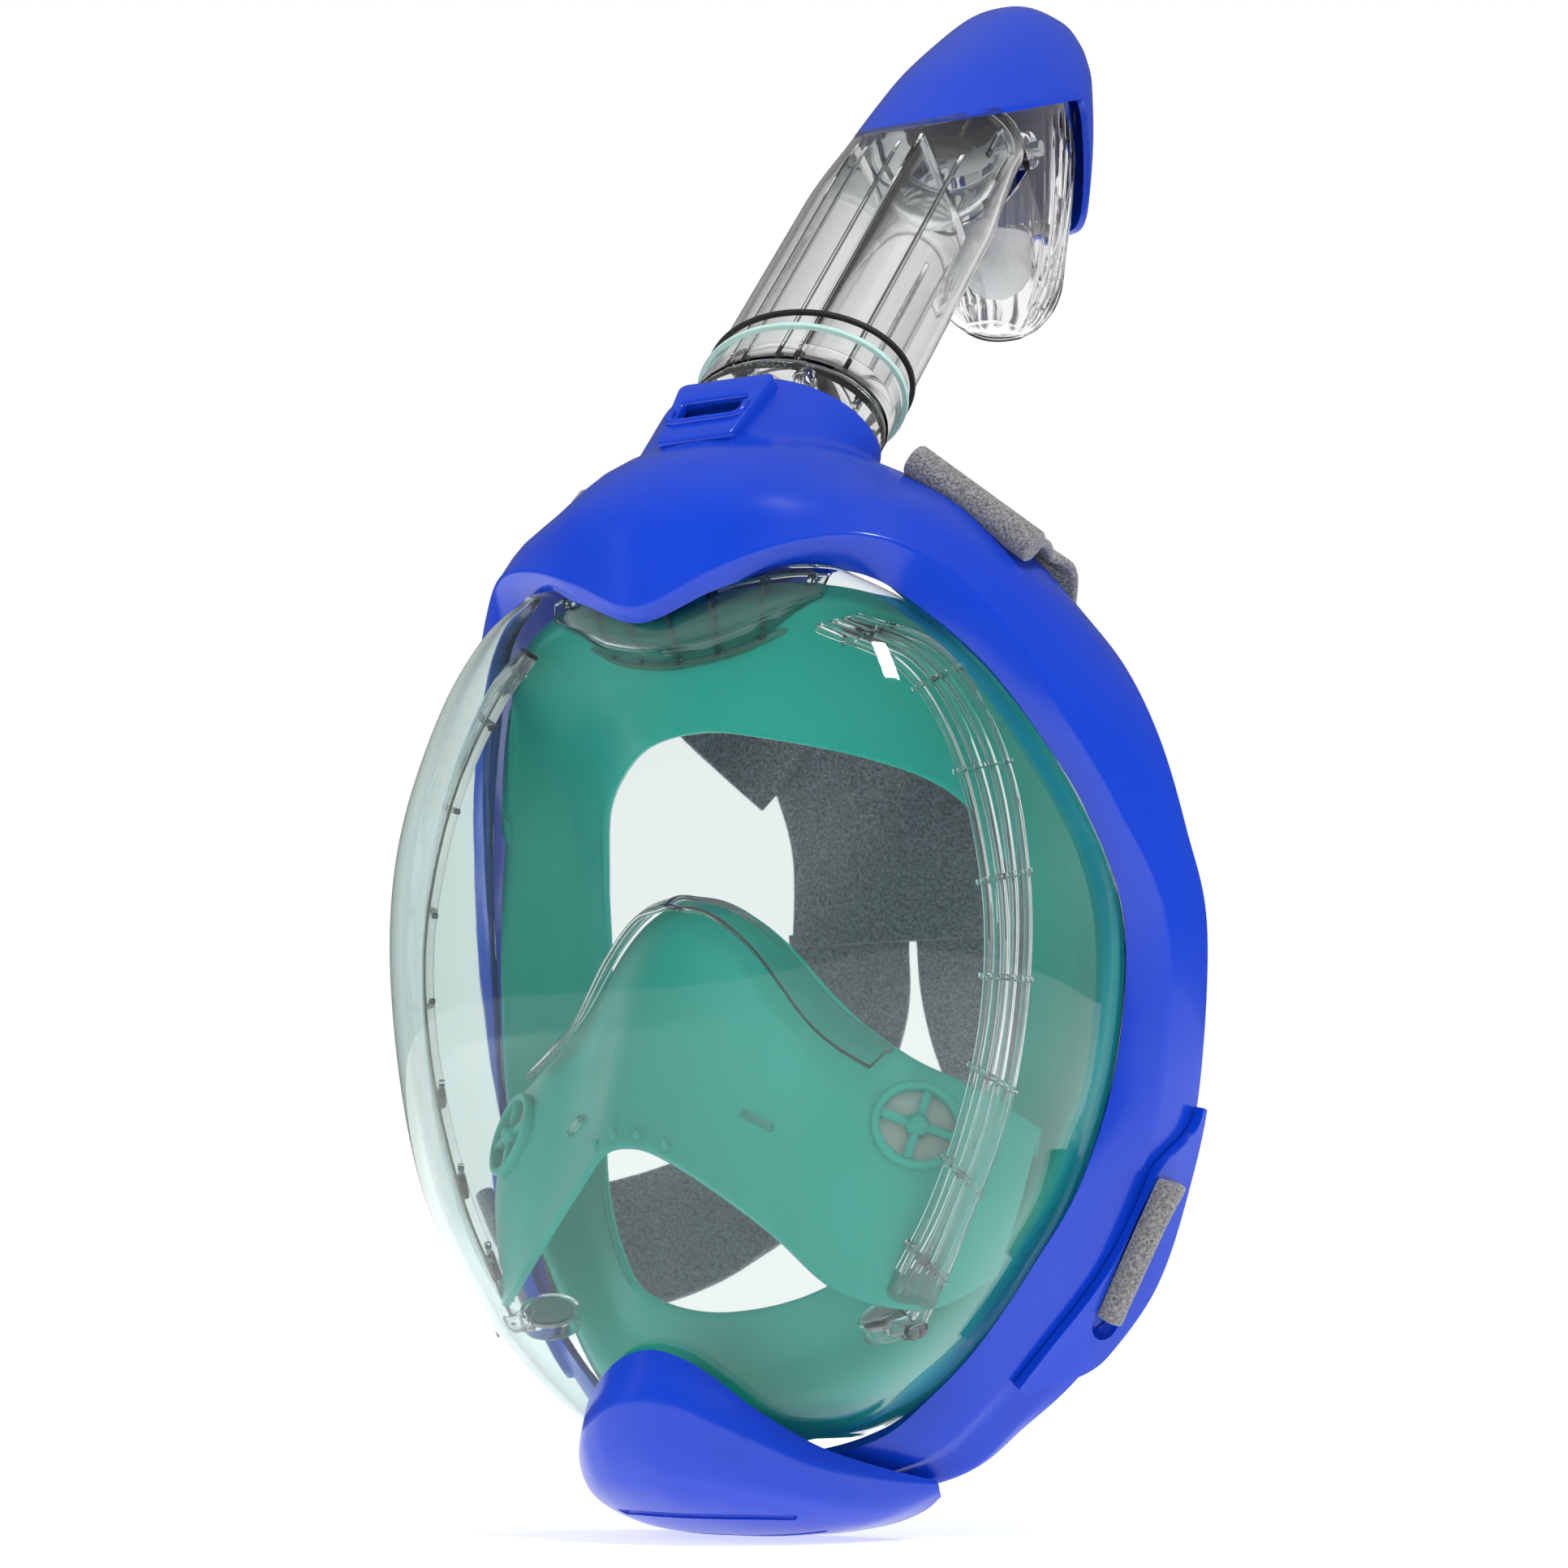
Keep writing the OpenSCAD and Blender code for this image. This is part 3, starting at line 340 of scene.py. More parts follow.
def softened(obj, width, angle=40, segments=3):
    """Rounds the object's sharp edges."""
    mod = obj.modifiers.new("round", "BEVEL")
    mod.width, mod.segments = width * MM, segments
    mod.limit_method, mod.angle_limit = "ANGLE", math.radians(angle)
    mod.harden_normals = False
    return obj


def joined(objs, name):
    """One object of several, which keep their own closed solids."""
    bm = bmesh.new()
    for o in objs:
        mesh = bpy.data.meshes.new_from_object(o.evaluated_get(bpy.context.evaluated_depsgraph_get()))
        bm.from_mesh(mesh)
    for o in objs:
        bpy.data.objects.remove(o)
    mesh = bpy.data.meshes.new(name)
    bm.to_mesh(mesh)
    bm.free()
    mesh.polygons.foreach_set("use_smooth", [True] * len(mesh.polygons))
    obj = bpy.data.objects.new(name, mesh)
    bpy.context.scene.collection.objects.link(obj)
    return obj


def mirrored(obj, name):
    """The mirror image of a piece, on the wearer's right."""
    mesh = bpy.data.meshes.new_from_object(obj.evaluated_get(bpy.context.evaluated_depsgraph_get()))
    bm = bmesh.new()
    bm.from_mesh(mesh)
    bmesh.ops.transform(bm, matrix=Matrix.Scale(-1, 4, Vector((1, 0, 0))), verts=bm.verts)
    bmesh.ops.reverse_faces(bm, faces=bm.faces)
    bm.to_mesh(mesh)
    bm.free()
    other = bpy.data.objects.new(name, mesh)
    bpy.context.scene.collection.objects.link(other)
    return other


def aimed(at, direction):
    """Places (x, y, z) with z along a direction, from a millimetre point of the body."""
    d = np.asarray(direction, float)
    d = d / np.linalg.norm(d)
    x = np.cross((0.0, 0.0, 1.0) if abs(d[2]) < 0.9 else (0.0, 1.0, 0.0), d)
    x /= np.linalg.norm(x)
    y = np.cross(d, x)
    return lambda u, v, w: np.asarray(at, float) + u * x + v * y + w * d


def lathe(name, profile, place, n=48):
    """Turned solid: profile holds (radius, height) pairs from the axis round to the axis."""
    a = np.arange(n) * 2 * math.pi / n
    g = np.array([[place(r * math.cos(b), r * math.sin(b), h) for b in a] for r, h in profile])
    return capped(name, g)


def smooth_by_angle(obj, degrees=35):
    """Smooth shading, with sharp edges kept where faces meet at a wide angle."""
    limit = math.radians(degrees)
    bm = bmesh.new()
    bm.from_mesh(obj.data)
    for e in bm.edges:
        e.smooth = len(e.link_faces) != 2 or e.calc_face_angle(0) < limit
    bm.to_mesh(obj.data)
    bm.free()
    obj.data.polygons.foreach_set("use_smooth", [True] * len(obj.data.polygons))
    return obj


# ---- Materials -------------------------------------------------------------------------------
def new_material(name, **values):
    mat = bpy.data.materials.new(name)
    mat.use_nodes = True
    shader = mat.node_tree.nodes["Principled BSDF"]
    for key, value in values.items():
        shader.inputs[key.replace("_", " ")].default_value = value
    return mat, mat.node_tree.nodes, mat.node_tree.links, shader


def coordinates(nodes, links, scale):
    """Object coordinates, in metres, times a scale."""
    place = nodes.new("ShaderNodeTexCoord")
    mapping = nodes.new("ShaderNodeMapping")
    mapping.inputs["Scale"].default_value = scale if isinstance(scale, tuple) else (scale,) * 3
    links.new(place.outputs["Object"], mapping.inputs["Vector"])
    return mapping.outputs["Vector"]


def noise(nodes, links, scale, detail=2.0, stretch=1.0):
    tex = nodes.new("ShaderNodeTexNoise")
    tex.inputs["Scale"].default_value = scale
    tex.inputs["Detail"].default_value = detail
    links.new(coordinates(nodes, links, stretch), tex.inputs["Vector"])
    return tex.outputs["Fac"]


def mapped(nodes, links, value, low, high):
    ramp = nodes.new("ShaderNodeMapRange")
    ramp.inputs["To Min"].default_value = low
    ramp.inputs["To Max"].default_value = high
    links.new(value, ramp.inputs["Value"])
    return ramp.outputs["Result"]


def two_colours(nodes, links, value, a, b):
    mix = nodes.new("ShaderNodeMix")
    mix.data_type = "RGBA"
    mix.inputs[6].default_value = (*a, 1)
    mix.inputs[7].default_value = (*b, 1)
    links.new(value, mix.inputs[0])
    return mix.outputs[2]


def bumped(nodes, links, shader, height, strength, distance):
    bump = nodes.new("ShaderNodeBump")
    bump.inputs["Strength"].default_value = strength
    bump.inputs["Distance"].default_value = distance
    links.new(height, bump.inputs["Height"])
    links.new(bump.outputs["Normal"], shader.inputs["Normal"])


def glossy_blue():
    mat, nodes, links, shader = new_material("glossy_blue", Coat_Weight=0.2, Coat_Roughness=0.06,
                                             IOR=1.42)
    big = noise(nodes, links, 18.0)
    links.new(two_colours(nodes, links, big, (0.0015, 0.042, 0.52), (0.0025, 0.052, 0.60)),
              shader.inputs["Base Color"])
    fine = noise(nodes, links, 1400.0, 3.0)
    links.new(mapped(nodes, links, fine, 0.2, 0.3), shader.inputs["Roughness"])
    bumped(nodes, links, shader, fine, 0.05, 0.0001)
    return mat


def clear_plastic(name, tint, ior, depth, density, roughness=0.015):
    mat, nodes, links, shader = new_material(name, Transmission_Weight=1.0, IOR=ior)
    soft = noise(nodes, links, 60.0, 2.0)
    light = tuple(min(1.0, c * 1.02) for c in tint)
    links.new(two_colours(nodes, links, soft, tint, light), shader.inputs["Base Color"])
    links.new(mapped(nodes, links, noise(nodes, links, 300.0), roughness, roughness * 3),
              shader.inputs["Roughness"])
    bumped(nodes, links, shader, soft, 0.06, 0.0004)
    absorb = nodes.new("ShaderNodeVolumeAbsorption")
    absorb.inputs["Color"].default_value = (*depth, 1)
    absorb.inputs["Density"].default_value = density
    links.new(absorb.outputs["Volume"], nodes["Material Output"].inputs["Volume"])
    return mat


def silicone(name, deep, light, roughness):
    mat, nodes, links, shader = new_material(name, Subsurface_Weight=0.25, Subsurface_Scale=0.004,
                                             IOR=1.41)
    shader.inputs["Subsurface Radius"].default_value = (0.4, 1.0, 0.8)
    links.new(two_colours(nodes, links, noise(nodes, links, 14.0), deep, light),
              shader.inputs["Base Color"])
    fine = noise(nodes, links, 900.0, 4.0)
    links.new(mapped(nodes, links, fine, roughness, roughness + 0.1), shader.inputs["Roughness"])
    bumped(nodes, links, shader, fine, 0.08, 0.0001)
    return mat


def rubber(name, colour):
    mat, nodes, links, shader = new_material(name, IOR=1.45)
    fine = noise(nodes, links, 700.0, 3.0)
    links.new(two_colours(nodes, links, fine, colour, tuple(c * 1.4 for c in colour)),
              shader.inputs["Base Color"])
    links.new(mapped(nodes, links, fine, 0.4, 0.55), shader.inputs["Roughness"])
    bumped(nodes, links, shader, fine, 0.1, 0.0001)
    return mat


def metal(name, colour):
    mat, nodes, links, shader = new_material(name, Metallic=1.0)
    streaks = noise(nodes, links, 400.0, 3.0, (1.0, 1.0, 12.0))
    links.new(two_colours(nodes, links, streaks, colour, tuple(c * 0.8 for c in colour)),
              shader.inputs["Base Color"])
    links.new(mapped(nodes, links, streaks, 0.22, 0.4), shader.inputs["Roughness"])
    bumped(nodes, links, shader, streaks, 0.15, 0.0001)
    return mat


def webbing(name, dark, light):
    """Knitted elastic: flecked yarn with fine crossing ribs."""
    mat, nodes, links, shader = new_material(name, Sheen_Weight=0.35, Sheen_Roughness=0.5)
    fleck = noise(nodes, links, 1500.0, 5.0)
    links.new(two_colours(nodes, links, mapped(nodes, links, fleck, -0.6, 1.6), dark, light),
              shader.inputs["Base Color"])
    shader.inputs["Roughness"].default_value = 0.85
    checks = nodes.new("ShaderNodeTexVoronoi")
    checks.inputs["Scale"].default_value = 950.0
    links.new(coordinates(nodes, links, (1.0, 1.0, 1.6)), checks.inputs["Vector"])
    bumped(nodes, links, shader, checks.outputs["Distance"], 0.7, 0.0006)
    return mat


def floor_material():
    mat, nodes, links, shader = new_material("pale_floor", Roughness=0.6, Emission_Strength=0.62)
    shader.inputs["Emission Color"].default_value = (1, 1, 1, 1)
    links.new(two_colours(nodes, links, noise(nodes, links, 3.0), (0.78, 0.78, 0.785), (0.82, 0.82, 0.82)),
              shader.inputs["Base Color"])
    return mat


BLUE = glossy_blue()
LENS = clear_plastic("lens_clear", (0.97, 0.99, 0.987), 1.42, (0.0, 0.40, 0.32), 62.0)
CLEAR = clear_plastic("clear_plastic", (0.985, 0.99, 0.99), 1.47, (0.1, 0.14, 0.14), 12.0)
TEAL = silicone("teal_silicone", (0.026, 0.55, 0.44), (0.04, 0.64, 0.53), 0.3)
VALVE = silicone("valve_silicone", (0.62, 0.64, 0.63), (0.72, 0.74, 0.73), 0.4)
BLACK = rubber("black_rubber", (0.012, 0.012, 0.013))
PALE = rubber("pale_rubber", (0.42, 0.62, 0.57))
WHITE = rubber("float_white", (0.6, 0.61, 0.62))
STEEL = metal("steel", (0.62, 0.63, 0.65))
# Clear plastic with a darker tint and denser absorption: painted shade that stands in for the dark refraction on
# the crown duct's struts; the float cage takes it too.
SHADE_TINTED_CLEAR = clear_plastic("shade_tinted_clear", (0.78, 0.82, 0.82), 1.49, (0.1, 0.14, 0.14), 40.0)
STRAP = webbing("grey_webbing", (0.05, 0.05, 0.052), (0.36, 0.36, 0.37))


def finished(obj, material, body, slot, *nodes):
    """Material, body, slot (not used) and the CAD nodes that the piece stands for."""
    obj.data.materials.clear()
    obj.data.materials.append(material)
    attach(obj, body)
    if nodes:
        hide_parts(*nodes)
    return obj


# ---- Frame -----------------------------------------------------------------------------------
WALL_ROWS = [RIM_CREASE, WALL_FRONT, WALL_REAR, REAR_EDGE]
SLOT_SIDE = [(93.2, 1.0, 34.5), (94.6, 9.0, 25.0), (96.0, 16.5, 14.0)]
SLOT_CROWN = [(77.0, -14.0, 77.5), (81.0, -8.0, 69.0)]
COLLAR_TOP, COLLAR_LOW = -13.0, -40.0
COLLAR_IN, COLLAR_OUT = 0.7, 3.1
REAR_DROP = 9.5
FRAME_T = 3.0


def rim_grid():
    wall_grid = surface(WALL_ROWS, 384, np.linspace(0, 3, 16), "loop")
    edge = surface([RIM_INNER, RIM_CREASE], 384, [0.0, 0.5], "loop")
    return rounded_corner(np.concatenate([edge, wall_grid], 1), 2, 1.0)


def capsule(name, path, r):
    """Round-ended cutter along a path."""
    path = np.asarray(path, float)
    d = (path[-1] - path[0]) / np.linalg.norm(path[-1] - path[0])
    ends = [path[0] - d * r * math.sin(a) for a in (1.5, 1.1, 0.6)]
    tail = [path[-1] + d * r * math.sin(a) for a in (0.6, 1.1, 1.5)]
    full = np.array([*ends, *path, *tail])
    sizes = [math.cos(a) for a in (1.5, 1.1, 0.6)] + [1.0] * len(path) \
        + [math.cos(a) for a in (0.6, 1.1, 1.5)]
    side = np.cross(d, (0.3, 1.0, 0.2))
    side /= np.linalg.norm(side)
    out = np.cross(d, side)
    ring = round_profile(r, 16)
    g = np.array([[p + s * (a * side + b * out) for a, b in ring] for p, s in zip(full, sizes)])
    return capped(name, g)


BLOCK_FACES = [[0, 1, 3, 2], [4, 6, 7, 5], [0, 4, 5, 1], [2, 3, 7, 6], [0, 2, 6, 4], [1, 5, 7, 3]]


def tube_block(name, x, y, z, r=0.0):
    """Cutter block with tube coordinates from and to."""
    corners = [on_tube(a, b, c) for c in z for b in y for a in x]
    block = mesh_object(name, np.array(corners), BLOCK_FACES)
    if r:
        softened(block, r, segments=6)
        baked(block)
    return block


def oval_block(name, grow, low, high, n=96):
    a = np.arange(n) * 2 * math.pi / n
    g = np.array([on_tube((TUBE_RX + grow) * np.cos(a), (TUBE_RY + grow) * np.sin(a), z)
                  for z in (low, high)])
    return capped(name, g)


def collar_grid(rim):
    """Socket wall that runs out into the crown with a soft fillet."""
    tree = BVHTree.FromPolygons([tuple(p) for p in rim.reshape(-1, 3)],
                                grid_faces(*rim.shape[:2], True, False))
    down = Vector(-TUBE_UP)
    n = 144
    columns = []
    for k in range(n):
        a = k * 2 * math.pi / n
        ring = lambda off, z: on_tube((TUBE_RX + off) * math.cos(a), (TUBE_RY + off) * math.sin(a), z)

        def drop(off):
            hit = tree.ray_cast(Vector(ring(off, 20.0)), down)[0]
            return np.array(hit) if hit else ring(off, -34.0)
        spread = 3.4 - 1.2 * float(ease(math.sin(a), 0.2, 0.9))
        foot, far = drop(COLLAR_OUT), drop(COLLAR_OUT + spread)
        foot_z = float((foot - SOCKET) @ TUBE_UP)
        top = COLLAR_TOP - REAR_DROP * float(ease(TUBE_RY * math.sin(a), 2.0, 9.0))
        high = min(top - 1.5, foot_z + spread)
        start = ring(COLLAR_OUT, high)
        low = ring(COLLAR_OUT, min(foot_z, high - 0.5))
        bend = [(1 - u) ** 2 * start + 2 * u * (1 - u) * low + u * u * far
                for u in np.linspace(0, 1, 12)]
        lip = [ring(COLLAR_IN, COLLAR_LOW), ring(COLLAR_IN, top - 0.7),
               ring(COLLAR_IN + 0.2, top - 0.2), ring(COLLAR_IN + 0.7, top),
               ring(COLLAR_OUT - 0.7, top), ring(COLLAR_OUT - 0.2, top - 0.2),
               ring(COLLAR_OUT, top - 0.8)]
        inward = np.array([0.0, 0.35, -0.9]) * 1.6
        columns.append([*lip, *bend, far + inward])
    return np.array(columns)


def tube_outline(low_half, high_half, low, high, r, n=6):
    """Rounded trapezoid of (x, z) points in tube coordinates."""
    corners = [(low_half, low, -90), (high_half, high, 0), (-high_half, high, 90), (-low_half, low, 180)]
    points = []
    for x, z, a0 in corners:
        cx, cz = x - math.copysign(r, x), z + (r if z == low else -r)
        points += [(cx + r * math.cos(math.radians(a0 + k * 90 / n)),
                    cz + r * math.sin(math.radians(a0 + k * 90 / n))) for k in range(n + 1)]
    return points


PANEL_Y = -23.6
WINDOW = (8.5, -30.0, -23.0)


def latch_panel():
    """Raised panel on the collar's front, with the latch window and the bead round its low side."""
    body = plate("latch_panel", tube_outline(10.0, 12.6, -38.5, -15.0, 2.2), PANEL_Y, -19.0,
                 lambda x, z, y: on_tube(x, y, z))
    half, low, high = WINDOW
    opening = plate("window", tube_outline(half, half, low, high, 1.0), -40, 0,
                    lambda x, z, y: on_tube(x, y, z))
    cut(body, opening)
    softened(body, 1.0, 50)
    x = [-half - 1.2, -half - 1.2, -half - 0.6, -half + 1, 0, half - 1, half + 0.6, half + 1.2, half + 1.2]
    z = [low + 3.5, low + 0.8, low - 0.6, low - 1.2, low - 1.2, low - 1.2, low - 0.6, low + 0.8, low + 3.5]
    bead = sweep("bead", on_tube(x, PANEL_Y - 0.1, z), round_profile(0.9, 10), TUBE_REAR)
    return [body, bead]


def build_frame():
    rim = rim_grid()
    body = shell("rim_body", rim, rim - FRAME_T * normals(rim, True), True)
    softened(body, 0.8, 50)
    baked(body)
    rear_cut = tube_block("rear_cut", (-40, 40), (6, 50), (-22, 30), 5.0)
    half, low, high = WINDOW
    slots = [capsule("s", flip(path) if side < 0 else path, r)
             for side in (-1, 1) for path, r in ((SLOT_SIDE, 2.2), (SLOT_CROWN, 2.2))]
    drain_hole = lathe("drain_hole", [(8.7, -5), (8.7, 6)], aimed((0, -18, -125), (0, 0, 1)))
    cut(body, oval_block("plug", COLLAR_IN, -60, 20), rear_cut, drain_hole, *slots)
    collar = ring_solid("collar", collar_grid(rim))
    cut(collar, plate("window", tube_outline(half, half, low, high, 1.0), -40, 0,
                      lambda x, z, y: on_tube(x, y, z)))
    pieces = [smooth_by_angle(body, 40), smooth_by_angle(collar, 50), *latch_panel()]
    return finished(joined(pieces, "frame_shell"), BLUE, "root", "frame_blue", "frame")


# ---- Chin cover ------------------------------------------------------------------------------
CHIN_ROWS = [CHIN_LIP, CHIN_NOSE, CHIN_FRONT, CHIN_UNDER, CHIN_REAR]
CHIN_T = 2.2


def build_chin():
    g = surface(CHIN_ROWS, 121, np.linspace(0, 4, 49), "strip")
    cover = wall("chin_cover_shell", g, CHIN_T, False)
    softened(cover, 0.9, 50)
    baked(cover)
    last = len(CHIN_LIP) - 1
    slots = []
    for s, reach in ((2.55, 2.9), (3.2, 2.9)):
        t = last + np.linspace(-reach, reach, 25)
        rows = np.array([whole(r, False) for r in CHIN_ROWS])
        lines = spline(rows.transpose(1, 0, 2), t)
        path = spline(lines.transpose(1, 0, 2), [s])[0]
        slots.append(capsule("slot", path, 1.5))
    cut(cover, *slots)
    smooth_by_angle(cover, 45)
    return finished(cover, BLUE, "root", "frame_blue", "chin_cover")


# ---- Lens ------------------------------------------------------------------------------------
LENS_POWER = 3.1
LENS_T = 2.4


def lens_grid(inset, nt=72, na=97):
    rows = spline(LENS_ROWS, np.linspace(0, len(LENS_ROWS) - 1, nt))
    a = np.linspace(math.pi, 0, na)

    def bend(c):
        return np.sign(c) * np.abs(c) ** (2 / LENS_POWER)
    z, half, y_rim, y_front = rows.T
    x = (half - inset)[:, None] * bend(np.cos(a))[None]
    y = (y_rim + 1.5)[:, None] + (y_front + inset - y_rim - 1.5)[:, None] * bend(np.sin(a))[None]
    return np.stack([x, y, np.broadcast_to(z[:, None], x.shape)], 2)


def build_lens():
    lens = shell("lens_window", lens_grid(0), lens_grid(LENS_T), False)
    softened(lens, 0.4, 60, 2)
    return finished(lens, LENS, "root", "clear_plastic", "lens")


# ---- Face skirt and nose pocket --------------------------------------------------------------
SKIRT_ROWS = [SKIRT_EDGE, SKIRT_RIDGE, SKIRT_MID, SKIRT_LIP, SKIRT_SEAL]
POCKET_ROWS = [POCKET_REAR, POCKET_CREST, POCKET_FRONT, POCKET_ARCH]
SILICONE_T = 1.8
INHALE = (4.5, 1.6)
INHALE_R = 8.2


def build_skirt():
    g = surface(SKIRT_ROWS, 288, np.linspace(0, 4, 49), "loop")
    skirt = wall("skirt_silicone", g, SILICONE_T, True)
    softened(skirt, 0.7, 50)
    return finished(skirt, TEAL, "root", "teal_silicone", "face_skirt")


def at_pocket(t, s):
    rows = np.array(POCKET_ROWS, float)
    return spline(spline(rows.transpose(1, 0, 2), [t]).transpose(1, 0, 2), [s])[0, 0]


def pocket_frame(t, s):
    """Place on the pocket's wall, with z towards the mouth."""
    along = at_pocket(t + 0.3, s) - at_pocket(t - 0.3, s)
    across = at_pocket(t, s + 0.3) - at_pocket(t, s - 0.3)
    return aimed(at_pocket(t, s), np.cross(along, across))


def valve_wheel(place):
    """Seat of an inhale valve: a ring, four spokes and a keyhole hub."""
    r = INHALE_R
    a = np.arange(64) * 2 * math.pi / 64
    profile = box_profile(1.8, 3.2, 0.6)
    ring = ring_solid("ring", np.array([[place((r + 0.8 + u) * math.cos(b), (r + 0.8 + u) * math.sin(b), v)
                                         for u, v in profile] for b in a]))
    hub = lathe("hub", [(0.3, -2.6), (1.3, -2.5), (1.7, -1.8), (2.3, -1.4), (2.6, -1), (2.6, 0.8),
                        (2.2, 1.2), (0.3, 1.2)], place, 32)
    pieces = [ring, hub]
    for k in range(4):
        b = math.radians(20 + 90 * k)
        path = [place(u * math.cos(b), u * math.sin(b), -0.3) for u in np.linspace(1.5, r + 0.4, 6)]
        side = place(-math.sin(b), math.cos(b), 0) - place(0, 0, 0)
        pieces.append(sweep("spoke", path, box_profile(1.9, 1.9, 0.5), side))
    return pieces


def build_pocket():
    g = surface(POCKET_ROWS, 201, np.linspace(0, 3, 46), "strip")
    pocket = wall("pocket", g, SILICONE_T, False)
    softened(pocket, 0.7, 50)
    baked(pocket)
    place = pocket_frame(*INHALE)
    holes = [lathe("hole", [(INHALE_R + 0.8, -7), (INHALE_R + 0.8, 7)], place)]
    holes.append(mirrored(holes[0], "hole_right"))
    cut(pocket, *holes)
    smooth_by_angle(pocket, 50)
    left = joined(valve_wheel(place), "wheel")
    right = mirrored(left, "wheel_right")
    teeth = []
    for x in (-9.0, -3.2, 3.2, 9.0):
        at = at_pocket(abs(x) / 7.6, 2.93) * (math.copysign(1, x), 1, 1)
        teeth.append(lathe("tooth", [(0.2, -2.2), (0.8, -1.6), (1.1, 0), (0.6, 1.4), (0.2, 1.6)],
                           aimed(at, (0, -0.3, 1)), 12))
    return finished(joined([pocket, left, right, *teeth], "nose_pocket_silicone"), TEAL, "root",
                    "teal_silicone", "nose_pocket")


def build_bracket():
    """Clear stiffener just in front of the pocket's crest, and the two clips in its wall."""
    rows = []
    for d in (2.2, 4.0, 6.4):
        line = np.array([at_pocket(t, 1.0 + (d - 2.2) / 10) for t in np.linspace(0, 3.9, 14)])
        rows.append(line + (0.0, -d * 0.8, d * 0.65))
    g = surface(rows, 121, np.linspace(0, 2, 13), "strip")
    band = wall("band", g, 1.4, False)
    softened(band, 0.6, 50)
    clips = []
    for side in (-1, 1):
        place = pocket_frame(2.45, 2.35)
        path = [place(u, 0.55 * u, -0.6) * (side, 1, 1) for u in np.linspace(-3.2, 3.2, 5)]
        clips.append(sweep("clip", path, box_profile(1.5, 1.4, 0.3), (0, 1, 0)))
    return finished(joined([band, *clips], "pocket_bracket_clear"), CLEAR, "root", "clear_plastic",
                    "pocket_bracket")


# ---- Air channels and duct -------------------------------------------------------------------
def build_channel(side):
    rows = [RAIL_INNER, RAIL_OUTER]
    g = surface(rows, 97, np.linspace(0, 1, 5), "half")
    film = wall("film", g, 1.0, False)
    n = normals(g, False)
    across = g[:, -1] - g[:, 0]
    across /= np.linalg.norm(across, axis=1, keepdims=True)
    pieces = [film]
    for j, reach in ((0, 3.4), (-1, 3.0)):
        for step in (0.0, reach):
            inward = across * (step if j == 0 else -step)
            pieces.append(sweep("rail", g[:, j] + inward - n[:, j] * 0.6, box_profile(1.5, 2.6, 0.5),
                                across))
    for k in range(8):
        i = 5 + k * 12
        for j, sign in ((0, 1), (-1, -1)):
            ends = [g[i, j] + across[i] * sign * u - n[i, j] * 1.2 for u in np.linspace(-1.8, 5.2, 5)]
            pieces.append(sweep("rib", ends, box_profile(1.3, 1.5, 0.4), (0, 0, 1)))
    place = aimed((43, -32.5, -84), (0.2, 0.45, -0.87))
    pieces.append(lathe("seat", [(2.2, 0), (6.4, 0), (7.0, 0.5), (7.0, 4.6), (6.6, 5), (6.0, 4.8),
                                 (5.9, 1.2), (2.2, 1.2)], place))
    end = g[-1].mean(0)
    pieces.append(sweep("foot", [end + (-5, 3, -2.5), end + (-1, 2, -3.4), end + (3.5, 0.5, -4.5)],
                        box_profile(5.0, 3.4, 0.9), (0, 1, 0.4)))
    channel = joined(pieces, "channel_left_clear")
    softened(channel, 0.3, 60, 2)
    if side == "right":
        other = mirrored(channel, "channel_right_clear")
        bpy.data.objects.remove(channel)
        channel = other
    return finished(channel, CLEAR, "root", "clear_plastic", "channel_" + side)


def build_duct():
    rows = [DUCT_TOP, DUCT_FRONT, DUCT_LOW]
    g = surface(rows, 97, np.linspace(0, 2, 17), "strip")
    lip = wall("lip", g, 1.4, False)
    low = surface(rows, 97, [1.97], "strip")[:, 0]
    bead = sweep("bead", low, round_profile(1.3, 10), (0, 1, 0))
    pieces = [lip, bead]
    for x in (-26, -17, -8, 2, 11, 20, 28):
        i = int(np.argmin(np.abs(g[:, -1, 0] - x)))
        a, b = g[i, 0] + (0, 3, 0), g[i, -2] + (0, 1.5, 0)
        pieces.append(sweep("strut", [a * (1 - u) + b * u for u in np.linspace(0, 1, 6)],
                            box_profile(1.2, 3.6, 0.4), (1, 0, 0)))
    # The darker clear plastic paints shade on the duct's lip and struts.
    return finished(joined(pieces, "crown_duct_clear"), SHADE_TINTED_CLEAR, "root", "clear_plastic", "crown_duct")


# ---- Snorkel ---------------------------------------------------------------------------------
def oval_grid(stations, n=96):
    """Rings of the oval: stations hold (height, half width, half depth)."""
    a = np.arange(n) * 2 * math.pi / n
    return np.array([on_tube(rx * np.cos(a), ry * np.sin(a), z) for z, rx, ry in stations])


def oval_wall(name, outer, inner):
    """Closed wall between two stacks of rings that share their heights."""
    g = np.concatenate([oval_grid(outer), oval_grid(inner[::-1])])
    return ring_solid(name, g.transpose(1, 0, 2))


def tube_size(z, less=0.0):
    """Half width and half depth of the snorkel tube, which narrows towards its mouth."""
    k = float(ease(z, 80, 116))
    return z, TUBE_RX - 2.6 * k - less, TUBE_RY - 2.0 * k - less


